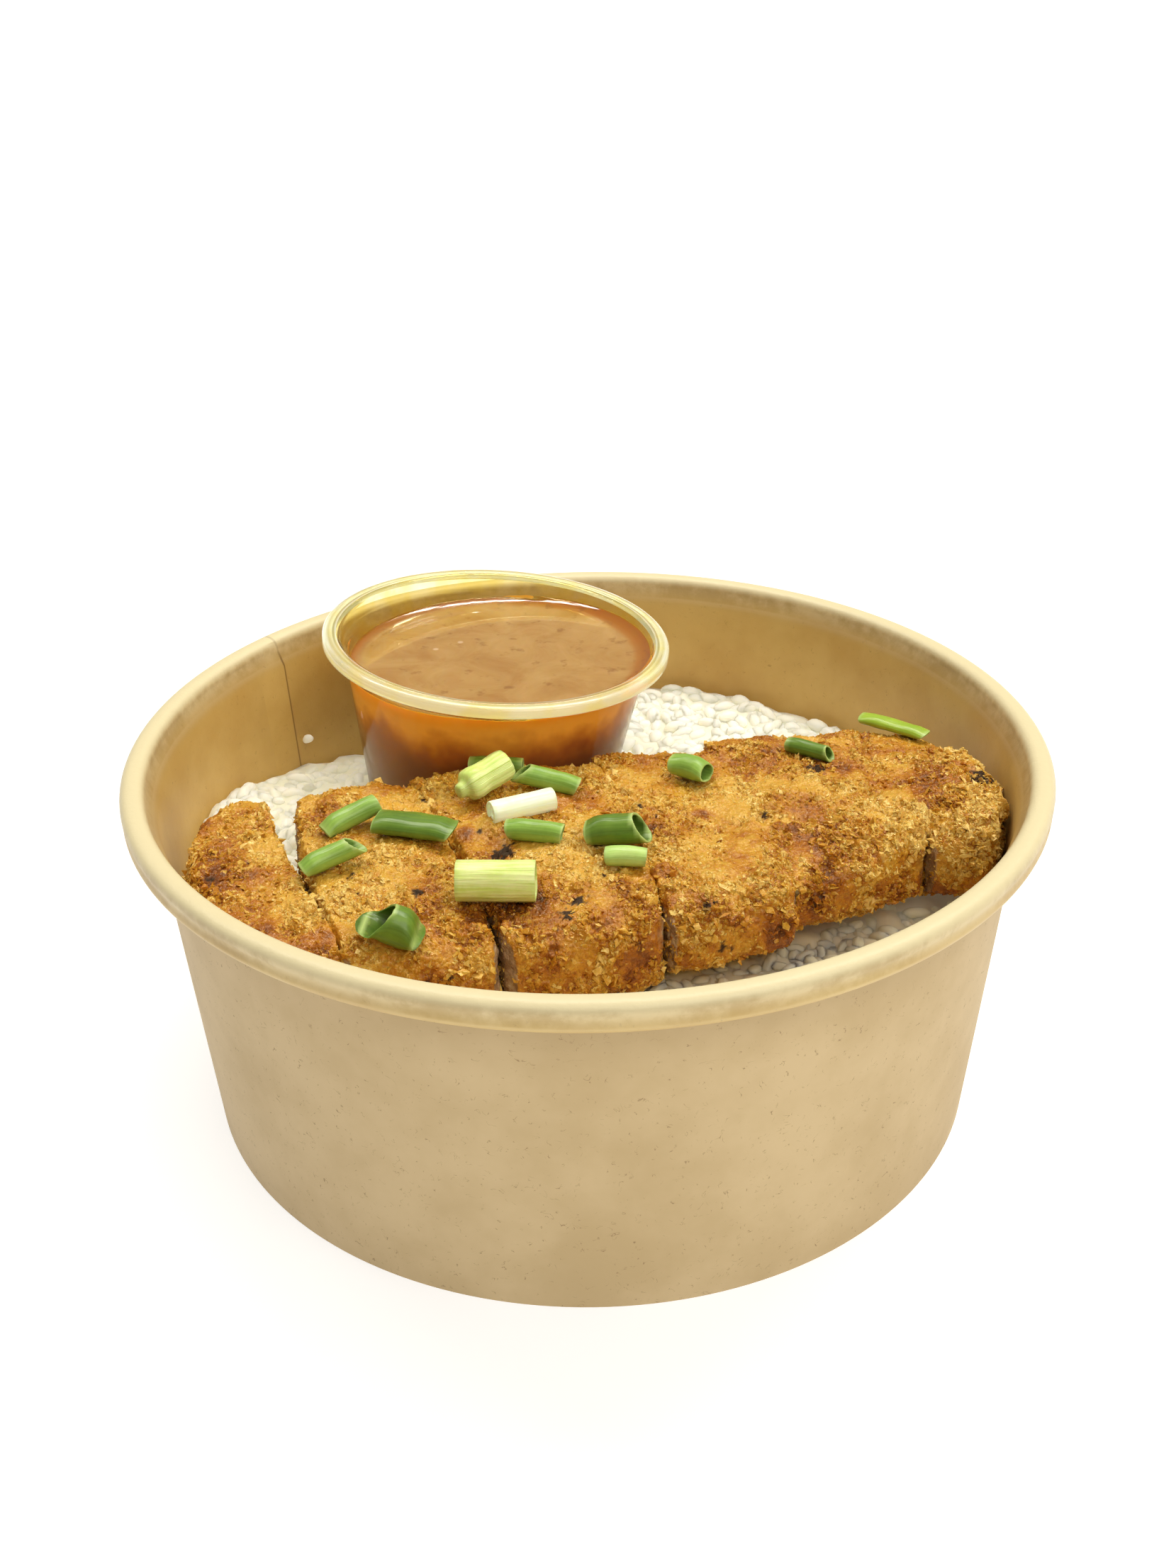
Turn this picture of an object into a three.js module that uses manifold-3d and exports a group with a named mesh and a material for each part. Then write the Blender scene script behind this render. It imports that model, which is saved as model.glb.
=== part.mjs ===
// A takeaway portion of chicken katsu on rice: a round paper bowl with a rolled rim, a bed of
// boiled rice, a breaded chicken cutlet cut into six slices, fifteen short pieces of spring onion
// and a small clear cup of curry sauce that stands tilted in the rice.
// Millimetres, +Z up. The origin is the middle of the bowl's foot, and -Y is the side to eat from.
import * as THREE from 'three';
import { mergeVertices } from 'three/addons/utils/BufferGeometryUtils.js';
import Module from 'manifold-3d';

const wasm = await Module();
wasm.setup();

// ---- Driving dimensions ----

const GAP = 0.3; // left between any two pieces that touch

// Paper bowl
const RIM_RADIUS = 75;
const RIM_ROLL_WIDTH = 4.1;
const RIM_ROLL_HEIGHT = 4.9;
const RIM_ROLL_SQUARENESS = 2.6; // exponent of the roll's oval section; 2 is a plain ellipse
const RIM_ROLL_ANGLES = [180, -140]; // from the inner wall over the top to the tucked-in end
const RIM_ROLL_STEPS = 7;
const RIM_ROLL_INSIDE_END = 170; // where the roll's inner face meets the outside of the wall
const RIM_ROLL_INSIDE_STEPS = 4;
const BOWL_HEIGHT = 60.8;
const FOOT_RADIUS = 65.6;
const FOOT_WIDTH = 1.4; // the wall is folded back inside itself round the base
const WALL_RADIUS_AT_RIM = 70.14;
const PAPER = 0.55;
const BASE_UNDERSIDE = 4.9;
const BASE_TOP = 5.6;
const BOWL_SEGMENTS = 56;
const SEAM_ANGLE = THREE.MathUtils.degToRad(143.8); // where the overlapping edge shows inside
const SEAM_WIDTH = 8;
const SEAM_PAPER = 0.35;
const SEAM_SEGMENTS = 3;

// Rice
const RICE_LEVEL = 36.3;
const RICE_SEGMENTS = 48;
const RICE_RINGS = 9;
const RICE_UNEVEN = { height: 0.35, pitch: 4 };
const RICE_HEAP = { x: -66, y: 14, rise: 4, spread: 13 };
const RICE_DIP = { x: -46, y: 52, rise: -5, spread: 15 };
const RICE_BACK = { x: 24, y: 60, rise: 1.6, spread: 26 };
const GRAIN_LENGTHS = [5.2, 6.6];
const GRAIN_WIDTH_RATIO = 0.44;
const GRAIN_TWIST = 0.55; // radians that a grain's faces are turned about its length
const GRAIN_PITCHES = 0.9; // radians between the steepest grains leaning either way
const GRAIN_RISE = 0.3; // from the bed's level up to a grain's middle line, of its width
const GRAIN_WALL_ROOM = 0.6; // of its width beside the wall, or of its length to lie across
const GRAIN_TRIES = 345;
const GRAIN_SPREAD = [0.7548776662, 0.5698402910]; // steps that fill a square evenly
const GRAIN_CLEARANCE = 1.6; // from a grain's middle line to the food lying on the rice
const CUP_HOLE_GAP = 0.35; // between the rice and the cup, whose wall slopes
const RICE_SEED = 7;

// Katsu
const KATSU_UNDERSIDE = 37;
const KATSU_EDGE_RADIUS = 6;
const KATSU_END_RADIUS = 3;
const KATSU_CUT_RADIUS = 0.7;
const KATSU_END_ROUNDING = 0.42; // of the uncut ends in plan: 0 is square, 1 a half circle
const KATSU_CROWN = 1;
const KATSU_SWELL = { depth: 0.7, pitch: 11 };
const CRUST_RELIEF = { depth: 0.55, pitch: 3.4, sunk: 0.6 }; // sunk lowers the mean, of the depth
const SLICE_GRID = { across: 6, along: 13, thick: 4, crowding: 1.35 };
const SLICE_OUTLINE_STEPS = 8;

// Sauce cup, measured down from the top of its rim
const CUP_RIM_CENTRE = new THREE.Vector3(-15.7, 31, 66.3);
const CUP_TILT = THREE.MathUtils.degToRad(4.7);
const CUP_RIM_RADIUS = 30.8;
const CUP_LIP_DEPTH = 2;
const CUP_NECK_RADIUS = 27.9;
const CUP_SHOULDER_DEPTH = 3.8;
const CUP_BODY_RADIUS = 26.8;
const CUP_BASE_RADIUS = 22.2;
const CUP_HEIGHT = 31;
const CUP_WALL = 0.6;
const CUP_SEGMENTS = 36;
const SAUCE_LEVEL = 61.3;

// Spring onion
const ONION_SIDES = 10;
const ONION_LEAF = 0.6; // thickness of a hollow leaf's wall
const STEM_RECESS = 0.8; // how far the layers inside a stem stand back from its cut end
const STEM_CORE_TAPER = 0.9; // the width of those layers at their end, of their full width
const BULB_PROFILE = [ // along and out from the middle, of half the length and half the width
  [-1, 0], [-1, 0.45], [-0.7, 0.5], [-0.66, 0.9], [-0.3, 1],
  [0, 0.86], [0.6, 0.94], [0.9, 0.8], [1, 0.3], [1, 0],
];

// ---- Materials ----

function finish(color, roughness, extra = {}) {
  return new THREE.MeshStandardMaterial({ color, roughness, metalness: 0, ...extra });
}

const makeKraftPaper = () => finish(0xd9b888, 0.75);
const makeRice = () => finish(0xecebe4, 0.5);
const makeCrust = () => finish(0xc17a22, 0.6);
const makeClearPlastic = () => finish(0xf2eecb, 0.1, { transparent: true, opacity: 0.35 });
const makeSauce = () => finish(0xa85a18, 0.25);
const makeOnionGreen = () => finish(0x4f8a35, 0.4);
const makeOnionPale = () => finish(0xc9db8c, 0.4);
const makeOnionWhite = () => finish(0xeef0cf, 0.4);

// ---- Helpers ----

// One closed surface: vertices joined by place alone, and triangles that fall flat taken out.
function closed(geometry) {
  const bare = geometry.clone();
  bare.deleteAttribute('normal');
  bare.deleteAttribute('uv');
  const merged = mergeVertices(bare, 1e-4);
  const kept = [];
  const index = merged.index.array;
  for (let i = 0; i < index.length; i += 3) {
    const [a, b, c] = [index[i], index[i + 1], index[i + 2]];
    if (a !== b && b !== c && c !== a) kept.push(a, b, c);
  }
  merged.setIndex(kept);
  return signedVolume(merged) < 0 ? turnedInsideOut(merged) : merged;
}

function signedVolume(geometry) {
  const position = geometry.getAttribute('position');
  const index = geometry.index.array;
  const [a, b, c] = [new THREE.Vector3(), new THREE.Vector3(), new THREE.Vector3()];
  let volume = 0;
  for (let i = 0; i < index.length; i += 3) {
    a.fromBufferAttribute(position, index[i]);
    b.fromBufferAttribute(position, index[i + 1]);
    c.fromBufferAttribute(position, index[i + 2]);
    volume += a.dot(b.cross(c)) / 6;
  }
  return volume;
}

function turnedInsideOut(geometry) {
  const index = Array.from(geometry.index.array);
  for (let i = 0; i < index.length; i += 3) {
    [index[i + 1], index[i + 2]] = [index[i + 2], index[i + 1]];
  }
  geometry.setIndex(index);
  return geometry;
}

function toSolid(geometry) {
  const mesh = closed(geometry);
  return new wasm.Manifold(new wasm.Mesh({
    numProp: 3,
    vertProperties: new Float32Array(mesh.getAttribute('position').array),
    triVerts: new Uint32Array(mesh.index.array),
  }));
}

function toGeometry(solid) {
  const mesh = solid.getMesh();
  const geometry = new THREE.BufferGeometry();
  geometry.setAttribute('position', new THREE.BufferAttribute(mesh.vertProperties, 3));
  geometry.setIndex(new THREE.BufferAttribute(mesh.triVerts, 1));
  return geometry;
}

function moveVertices(geometry, move) {
  const position = geometry.getAttribute('position');
  const point = new THREE.Vector3();
  for (let i = 0; i < position.count; i++) {
    point.fromBufferAttribute(position, i);
    move(point, i);
    position.setXYZ(i, point.x, point.y, point.z);
  }
  return geometry;
}

// A lathe about Z of a closed outline of [radius, height] points.
function turned(outline, segments) {
  const points = outline.map(([radius, height]) => new THREE.Vector2(radius, height));
  return new THREE.LatheGeometry(points, segments).rotateX(Math.PI / 2);
}

function namedMesh(name, geometry, material) {
  const mesh = new THREE.Mesh(closed(geometry), material);
  mesh.name = name;
  return mesh;
}

// A repeatable source of random numbers from 0 to 1.
function seeded(seed) {
  let state = seed;
  return () => {
    state = (state + 0x6d2b79f5) | 0;
    let t = Math.imul(state ^ (state >>> 15), 1 | state);
    t = (t + Math.imul(t ^ (t >>> 7), 61 | t)) ^ t;
    return ((t ^ (t >>> 14)) >>> 0) / 4294967296;
  };
}

function latticeValue(x, y, z) {
  return seeded(x * 73856093 ^ y * 19349663 ^ z * 83492791)() * 2 - 1;
}

// Smooth unevenness from -1 to 1 that repeats nowhere, with lumps about one pitch apart.
function unevenness(point, pitch) {
  const cell = point.clone().divideScalar(pitch);
  const base = cell.clone().floor();
  const part = cell.sub(base);
  const ease = (t) => t * t * (3 - 2 * t);
  let sum = 0;
  for (let corner = 0; corner < 8; corner++) {
    const [i, j, k] = [corner & 1, (corner >> 1) & 1, corner >> 2];
    const weight = (i ? ease(part.x) : 1 - ease(part.x)) *
      (j ? ease(part.y) : 1 - ease(part.y)) *
      (k ? ease(part.z) : 1 - ease(part.z));
    sum += weight * latticeValue(base.x + i, base.y + j, base.z + k);
  }
  return sum;
}

// ---- Paper bowl ----

const WALL_SLOPE = (WALL_RADIUS_AT_RIM - FOOT_RADIUS) / (BOWL_HEIGHT - RIM_ROLL_HEIGHT);

function outerWallRadius(z) {
  return FOOT_RADIUS + WALL_SLOPE * z;
}

function innerWallRadius(z) {
  return outerWallRadius(z) - PAPER;
}

// Points on the roll's oval section, from angle `from` to angle `to`, 0 being outwards.
function rollArc(halfWidth, halfHeight, from, to, steps) {
  const centreRadius = RIM_RADIUS - RIM_ROLL_WIDTH / 2;
  const centreHeight = BOWL_HEIGHT - RIM_ROLL_HEIGHT / 2;
  const power = 2 / RIM_ROLL_SQUARENESS;
  const points = [];
  for (let i = 0; i <= steps; i++) {
    const angle = THREE.MathUtils.degToRad(from + (to - from) * i / steps);
    const [c, s] = [Math.cos(angle), Math.sin(angle)];
    points.push([
      centreRadius + halfWidth * Math.sign(c) * Math.abs(c) ** power,
      centreHeight + halfHeight * Math.sign(s) * Math.abs(s) ** power,
    ]);
  }
  return points;
}

// The wall goes up, rolls outwards over the rim and ends tucked in below the roll.
function bowlOutline() {
  const halfWidth = RIM_ROLL_WIDTH / 2;
  const halfHeight = RIM_ROLL_HEIGHT / 2;
  const rollBottom = BOWL_HEIGHT - RIM_ROLL_HEIGHT;
  const [start, end] = RIM_ROLL_ANGLES;
  return [
    [0, BASE_TOP],
    [innerWallRadius(BASE_TOP), BASE_TOP],
    [innerWallRadius(rollBottom), rollBottom],
    ...rollArc(halfWidth, halfHeight, start, end, RIM_ROLL_STEPS),
    ...rollArc(halfWidth - PAPER, halfHeight - PAPER, end, RIM_ROLL_INSIDE_END, RIM_ROLL_INSIDE_STEPS),
    [outerWallRadius(rollBottom), rollBottom],
    [FOOT_RADIUS, 0],
    [FOOT_RADIUS - FOOT_WIDTH, 0],
    [FOOT_RADIUS - FOOT_WIDTH, BASE_UNDERSIDE],
    [0, BASE_UNDERSIDE],
  ];
}

// The wall's sheet overlaps itself at the seam, so a strip of it stands proud inside by a sheet's
// thickness. The strip is made larger by `grow` to cut its place in the rice.
function seamStrip(grow = 0) {
  const top = BOWL_HEIGHT - RIM_ROLL_HEIGHT;
  const start = SEAM_ANGLE - grow / FOOT_RADIUS;
  const end = SEAM_ANGLE + (SEAM_WIDTH + grow) / FOOT_RADIUS;
  const outer = FOOT_RADIUS - PAPER / 2;
  const inner = FOOT_RADIUS - PAPER - SEAM_PAPER - grow;
  const outline = new THREE.Shape();
  outline.absarc(0, 0, outer, start, end, false);
  outline.absarc(0, 0, inner, end, start, true);
  const strip = new THREE.ExtrudeGeometry(outline, {
    depth: top - BASE_UNDERSIDE - GAP,
    bevelEnabled: false,
    curveSegments: SEAM_SEGMENTS,
  });
  strip.translate(0, 0, BASE_UNDERSIDE + GAP);
  return moveVertices(strip, (point) => {
    const spread = outerWallRadius(point.z) / FOOT_RADIUS;
    point.x *= spread;
    point.y *= spread;
  });
}

function makeBowl() {
  const shell = toSolid(turned(bowlOutline(), BOWL_SEGMENTS));
  return namedMesh('bowl', toGeometry(shell.add(toSolid(seamStrip()))), makeKraftPaper());
}

// ---- Katsu slices ----

// A side of a slice in plan, from its back end to its front end, bowed sideways to +X by `bow`.
function side(backX, backY, frontX, frontY, bow = 0) {
  const back = new THREE.Vector2(backX, backY);
  const front = new THREE.Vector2(frontX, frontY);
  const along = front.clone().sub(back).normalize();
  const across = new THREE.Vector2(-along.y, along.x).multiplyScalar(bow * 2);
  const middle = back.clone().add(front).multiplyScalar(0.5).add(across);
  return new THREE.QuadraticBezierCurve(back, middle, front);
}

// Each slice has its left and right sides in plan, the heights of its top at the back left, back
// right, front left and front right, how far its underside is lifted at the same corners, how far
// its back and front ends bulge, and its crust side: the side that was never cut, -1 for left and
// 1 for right, which only the cutlet's two ends have.
const FLAT = [0, 0, 0, 0];
const SLICES = [
  { left: side(-65, -1, -49, -46, -5.6), right: side(-54, 1, -34.4, -48.5, -0.8),
    tops: [50, 52, 49.5, 51], lifts: FLAT, bulges: [1, 1], crustSide: -1 },
  { left: side(-49.2, -1, -33.3, -49, -2.6), right: side(-30.6, 4, -13.6, -46, 0.8),
    tops: [52, 52.5, 51.5, 51.5], lifts: FLAT, bulges: [3, 1.5], crustSide: 0 },
  { left: side(-29.8, 5, -11.2, -45, 0.8), right: side(0.6, 10, 10.4, -40, 0.4),
    tops: [53, 53, 51.5, 52], lifts: FLAT, bulges: [1, 1.5], crustSide: 0 },
  { left: side(1.3, 13.5, 12.6, -39, 0.4), right: side(20.6, 13, 30.6, -33.5, 0.6),
    tops: [52, 52.5, 52, 52], lifts: [0, 0, 1, 1.3], bulges: [1.5, 1.5], crustSide: 0 },
  { left: side(21.2, 17.5, 31.6, -30, 0.6), right: side(31.8, 16.5, 53.2, -19, 6),
    tops: [52.5, 53, 52, 52.5], lifts: [0, 0, 1.3, 1.5], bulges: [1.5, 1.5], crustSide: 0 },
  { left: side(33.2, 20.5, 54.4, -18.5, 6), right: side(63.4, 19.5, 66.2, -20.5, 3.6),
    tops: [50.2, 51, 52, 55.5], lifts: [0, 2, 0, 3], bulges: [5, 0.5], crustSide: 1 },
];

// The place on the slice for a point of a cube from -1 to 1: a across, b to the back, c up.
function placeOnSlice(slice, point) {
  const rounded = roundedBlock(slice, point);
  const shaped = roundedEnd(slice.crustSide, rounded.x, rounded.y);
  const u = (shaped.a + 1) / 2;
  const v = (1 - shaped.b) / 2;
  const left = slice.left.getPoint(v);
  const right = slice.right.getPoint(v);
  const plan = left.clone().lerp(right, u);
  const lengthwise = slice.left.getPoint(0).sub(slice.left.getPoint(1)).normalize();
  const [backBulge, frontBulge] = slice.bulges;
  const bulge = shaped.b > 0 ? backBulge : -frontBulge;
  plan.addScaledVector(lengthwise, bulge * (1 - shaped.a ** 2) * shaped.b ** 2);
  const crown = KATSU_CROWN * (1 - shaped.a ** 2) * (1 - shaped.b ** 2);
  const level = new THREE.Vector3(plan.x, plan.y, 0);
  const swell = KATSU_SWELL.depth * unevenness(level, KATSU_SWELL.pitch);
  const top = betweenCorners(slice.tops, u, v) + crown + swell;
  const bottom = KATSU_UNDERSIDE + betweenCorners(slice.lifts, u, v);
  return new THREE.Vector3(plan.x, plan.y, THREE.MathUtils.lerp(bottom, top, (rounded.z + 1) / 2));
}

// A value between four corners: u from left to right, v from back to front.
function betweenCorners([backLeft, backRight, frontLeft, frontRight], u, v) {
  const back = THREE.MathUtils.lerp(backLeft, backRight, u);
  const front = THREE.MathUtils.lerp(frontLeft, frontRight, u);
  return THREE.MathUtils.lerp(back, front, v);
}

// Edges that are crust are fully rounded; the edges of a knife cut stay almost sharp.
function roundedBlock(slice, point) {
  const half = new THREE.Vector3(
    slice.left.getPoint(0.5).distanceTo(slice.right.getPoint(0.5)) / 2,
    slice.left.getLength() / 2,
    (slice.tops[0] - KATSU_UNDERSIDE) / 2,
  );
  const isCrust = Math.sign(point.x) === slice.crustSide;
  const radius = new THREE.Vector3(
    isCrust ? KATSU_END_RADIUS : KATSU_CUT_RADIUS,
    KATSU_EDGE_RADIUS,
    KATSU_EDGE_RADIUS,
  );
  const place = point.clone().multiply(half);
  const core = half.clone().sub(radius);
  const inner = place.clone().clamp(core.clone().negate(), core);
  const outwards = place.sub(inner).divide(radius).normalize();
  return inner.add(outwards.multiply(radius)).divide(half);
}

// Takes the corners off the plan at the end of the cutlet that was never cut.
function roundedEnd(crustSide, a, b) {
  if (crustSide === 0 || Math.sign(a) !== crustSide) return { a, b };
  return {
    a: a * Math.sqrt(1 - KATSU_END_ROUNDING * b * b),
    b: b * Math.sqrt(1 - KATSU_END_ROUNDING * a * a),
  };
}

// Crowds the grid lines towards the rounded ends.
function crowdedToEnds(t) {
  return Math.sign(t) * (1 - (1 - Math.abs(t)) ** SLICE_GRID.crowding);
}

function sliceGeometry(slice) {
  const { across, along, thick } = SLICE_GRID;
  const cube = closed(new THREE.BoxGeometry(2, 2, 2, across, along, thick));
  const cut = [];
  const floor = [];
  moveVertices(cube, (point, i) => {
    cut[i] = Math.abs(point.x) > 1 - 1e-6 && Math.sign(point.x) !== slice.crustSide;
    floor[i] = point.z < -1 + 1e-6;
    point.y = crowdedToEnds(point.y);
    point.copy(placeOnSlice(slice, point));
  });
  cube.computeVertexNormals();
  const normals = cube.getAttribute('normal');
  const normal = new THREE.Vector3();
  return moveVertices(cube, (point, i) => {
    if (cut[i] || floor[i]) return;
    normal.fromBufferAttribute(normals, i);
    const crag = unevenness(point, CRUST_RELIEF.pitch) - CRUST_RELIEF.sunk;
    point.addScaledVector(normal, CRUST_RELIEF.depth * crag);
  });
}

// The cup is pressed against the back of the cutlet, so its place is cut out of the slices.
function makeSlices(cup) {
  const press = toSolid(cupBody(GAP).applyMatrix4(cup.matrixWorld));
  return SLICES.map((slice, i) => {
    const pressed = toSolid(sliceGeometry(slice)).subtract(press);
    return namedMesh('katsu_slice_' + (i + 1), toGeometry(pressed), makeCrust());
  });
}

// ---- Sauce cup ----

const CUP_WALL_SLOPE = (CUP_BODY_RADIUS - CUP_BASE_RADIUS) / (CUP_HEIGHT - CUP_SHOULDER_DEPTH);

// Rolled lip, straight neck, small shoulder, tapered body and flat base.
function cupOutline() {
  const lipInner = CUP_NECK_RADIUS + CUP_WALL;
  const innerBody = CUP_BODY_RADIUS - CUP_WALL;
  const innerBase = CUP_BASE_RADIUS - CUP_WALL + CUP_WALL_SLOPE * CUP_WALL;
  return [
    [0, -CUP_HEIGHT + CUP_WALL],
    [innerBase, -CUP_HEIGHT + CUP_WALL],
    [innerBody, -CUP_SHOULDER_DEPTH - CUP_WALL],
    [CUP_NECK_RADIUS - CUP_WALL, -CUP_SHOULDER_DEPTH + CUP_WALL],
    [CUP_NECK_RADIUS - CUP_WALL / 2, -CUP_WALL],
    [lipInner, 0],
    [CUP_RIM_RADIUS - CUP_WALL, 0],
    [CUP_RIM_RADIUS, -CUP_WALL],
    [CUP_RIM_RADIUS, -CUP_LIP_DEPTH],
    [CUP_RIM_RADIUS - CUP_WALL, -CUP_LIP_DEPTH],
    [CUP_RIM_RADIUS - CUP_WALL, -CUP_WALL],
    [lipInner, -CUP_WALL],
    [CUP_NECK_RADIUS, -CUP_SHOULDER_DEPTH],
    [CUP_BODY_RADIUS, -CUP_SHOULDER_DEPTH - CUP_WALL],
    [CUP_BASE_RADIUS, -CUP_HEIGHT],
    [0, -CUP_HEIGHT],
  ];
}

// The cup's outside below the shoulder, moved outwards by `grow`; it makes the hole in the rice.
function cupBody(grow) {
  return turned([
    [0, -CUP_SHOULDER_DEPTH],
    [CUP_BODY_RADIUS + grow, -CUP_SHOULDER_DEPTH],
    [CUP_BASE_RADIUS + grow, -CUP_HEIGHT - grow],
    [0, -CUP_HEIGHT - grow],
  ], CUP_SEGMENTS);
}

// Fills the cup up to a surface that is level although the cup leans.
function makeSauceSolid() {
  const outline = cupOutline().slice(0, 5).map(([radius, height]) => [Math.max(radius - GAP, 0), height]);
  const floor = outline[0][1] + GAP;
  outline[0][1] = floor;
  outline[1][1] = floor;
  const filling = toSolid(turned([...outline, [0, outline.at(-1)[1]]], CUP_SEGMENTS));
  const above = new THREE.BoxGeometry(4 * CUP_RIM_RADIUS, 4 * CUP_RIM_RADIUS, CUP_HEIGHT);
  above.translate(0, 0, CUP_HEIGHT / 2 + SAUCE_LEVEL - CUP_RIM_CENTRE.z);
  above.rotateY(-CUP_TILT);
  return toGeometry(filling.subtract(toSolid(above)));
}

function makeCupWithSauce() {
  const group = new THREE.Group();
  group.position.copy(CUP_RIM_CENTRE);
  group.rotation.y = CUP_TILT;
  group.add(namedMesh('sauce_cup', turned(cupOutline(), CUP_SEGMENTS), makeClearPlastic()));
  group.add(namedMesh('sauce', makeSauceSolid(), makeSauce()));
  group.updateMatrixWorld(true);
  return group;
}

// ---- Rice ----

function hill(x, y, shape) {
  const distance = Math.hypot(x - shape.x, y - shape.y) / shape.spread;
  return shape.rise * Math.exp(-distance * distance);
}

function riceLevel(x, y) {
  return RICE_LEVEL + hill(x, y, RICE_HEAP) + hill(x, y, RICE_DIP) + hill(x, y, RICE_BACK);
}

// The bed of rice without its loose-looking grains: it fills the bowl up to an uneven top.
function riceCore() {
  const bottom = BASE_TOP + GAP;
  const outline = [[0, bottom], [innerWallRadius(bottom) - GAP, bottom]];
  for (let ring = RICE_RINGS; ring >= 0; ring--) {
    outline.push([(innerWallRadius(RICE_LEVEL) - GAP) * ring / RICE_RINGS, RICE_LEVEL]);
  }
  return moveVertices(turned(outline, RICE_SEGMENTS), (point) => {
    if (point.z < RICE_LEVEL - GAP) return;
    const radius = Math.hypot(point.x, point.y);
    const bump = RICE_UNEVEN.height * unevenness(point, RICE_UNEVEN.pitch);
    point.z = riceLevel(point.x, point.y) + bump;
    if (radius > innerWallRadius(RICE_LEVEL) - 2 * GAP) {
      const reach = (innerWallRadius(point.z) - 2 * GAP) / radius;
      point.x *= reach;
      point.y *= reach;
    }
  });
}

function isUnderFood(x, y) {
  const cupAxisX = CUP_RIM_CENTRE.x - Math.tan(CUP_TILT) * (CUP_RIM_CENTRE.z - RICE_LEVEL);
  const cupRadius = CUP_BASE_RADIUS + 1 + GRAIN_CLEARANCE;
  if (Math.hypot(x - cupAxisX, y - CUP_RIM_CENTRE.y) < cupRadius) return true;
  return SLICES.some((slice) => {
    const left = slice.left.getPoints(SLICE_OUTLINE_STEPS);
    const right = slice.right.getPoints(SLICE_OUTLINE_STEPS);
    const outline = [...left, ...right.reverse()];
    return distanceOutside(outline, x, y) < GRAIN_CLEARANCE;
  });
}

// How far a point lies outside a closed outline, or 0 inside it.
function distanceOutside(outline, x, y) {
  let inside = false;
  let nearest = Infinity;
  outline.forEach((end, i) => {
    const start = outline[(i + outline.length - 1) % outline.length];
    if ((end.y > y) !== (start.y > y) &&
      x < (start.x - end.x) * (y - end.y) / (start.y - end.y) + end.x) inside = !inside;
    const edge = start.clone().sub(end);
    const share = edge.dot(new THREE.Vector2(x, y).sub(end)) / edge.lengthSq();
    const foot = end.clone().addScaledVector(edge, THREE.MathUtils.clamp(share, 0, 1));
    nearest = Math.min(nearest, foot.distanceTo(new THREE.Vector2(x, y)));
  });
  return inside ? 0 : nearest;
}

function grainGeometry(length, place, yaw, pitch) {
  const width = length * GRAIN_WIDTH_RATIO;
  const grain = new THREE.IcosahedronGeometry(1, 0);
  grain.rotateX(GRAIN_TWIST);
  grain.scale(length / 2, width / 2, width / 2);
  grain.rotateY(pitch);
  grain.rotateZ(yaw);
  grain.translate(place.x, place.y, place.z);
  return grain;
}

// Grains spread evenly over the bare rice, the longest first. Near the wall they lie along it.
function riceGrains() {
  const random = seeded(RICE_SEED);
  const [shortest, longest] = GRAIN_LENGTHS;
  const lengths = Array.from({ length: GRAIN_TRIES }, () => shortest + (longest - shortest) * random());
  lengths.sort((a, b) => b - a);
  const wall = innerWallRadius(RICE_LEVEL) - 2 * GAP;
  const [stepX, stepY] = GRAIN_SPREAD;
  const grains = [];
  lengths.forEach((length, i) => {
    const x = (((0.5 + stepX * i) % 1) * 2 - 1) * wall;
    const y = (((0.5 + stepY * i) % 1) * 2 - 1) * wall;
    const yaw = random() * Math.PI;
    const pitch = (random() - 0.5) * GRAIN_PITCHES;
    const fromWall = wall - Math.hypot(x, y);
    const width = length * GRAIN_WIDTH_RATIO;
    if (fromWall < width * GRAIN_WALL_ROOM || isUnderFood(x, y)) return;
    const nearWall = fromWall < length * GRAIN_WALL_ROOM;
    const alongWall = Math.atan2(y, x) + Math.PI / 2;
    const place = new THREE.Vector3(x, y, riceLevel(x, y) + width * GRAIN_RISE);
    grains.push(grainGeometry(length, place, nearWall ? alongWall : yaw, nearWall ? 0 : pitch));
  });
  return grains;
}

function makeRiceBed(cup) {
  const hole = cupBody(CUP_HOLE_GAP).applyMatrix4(cup.matrixWorld);
  const heap = wasm.Manifold.union([riceCore(), ...riceGrains()].map(toSolid));
  const bed = heap.subtract(toSolid(hole)).subtract(toSolid(seamStrip(GAP)));
  const pieces = bed.decompose().sort((a, b) => b.volume() - a.volume());
  return namedMesh('rice', toGeometry(pieces[0]), makeRice());
}

// ---- Spring onion ----

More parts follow.
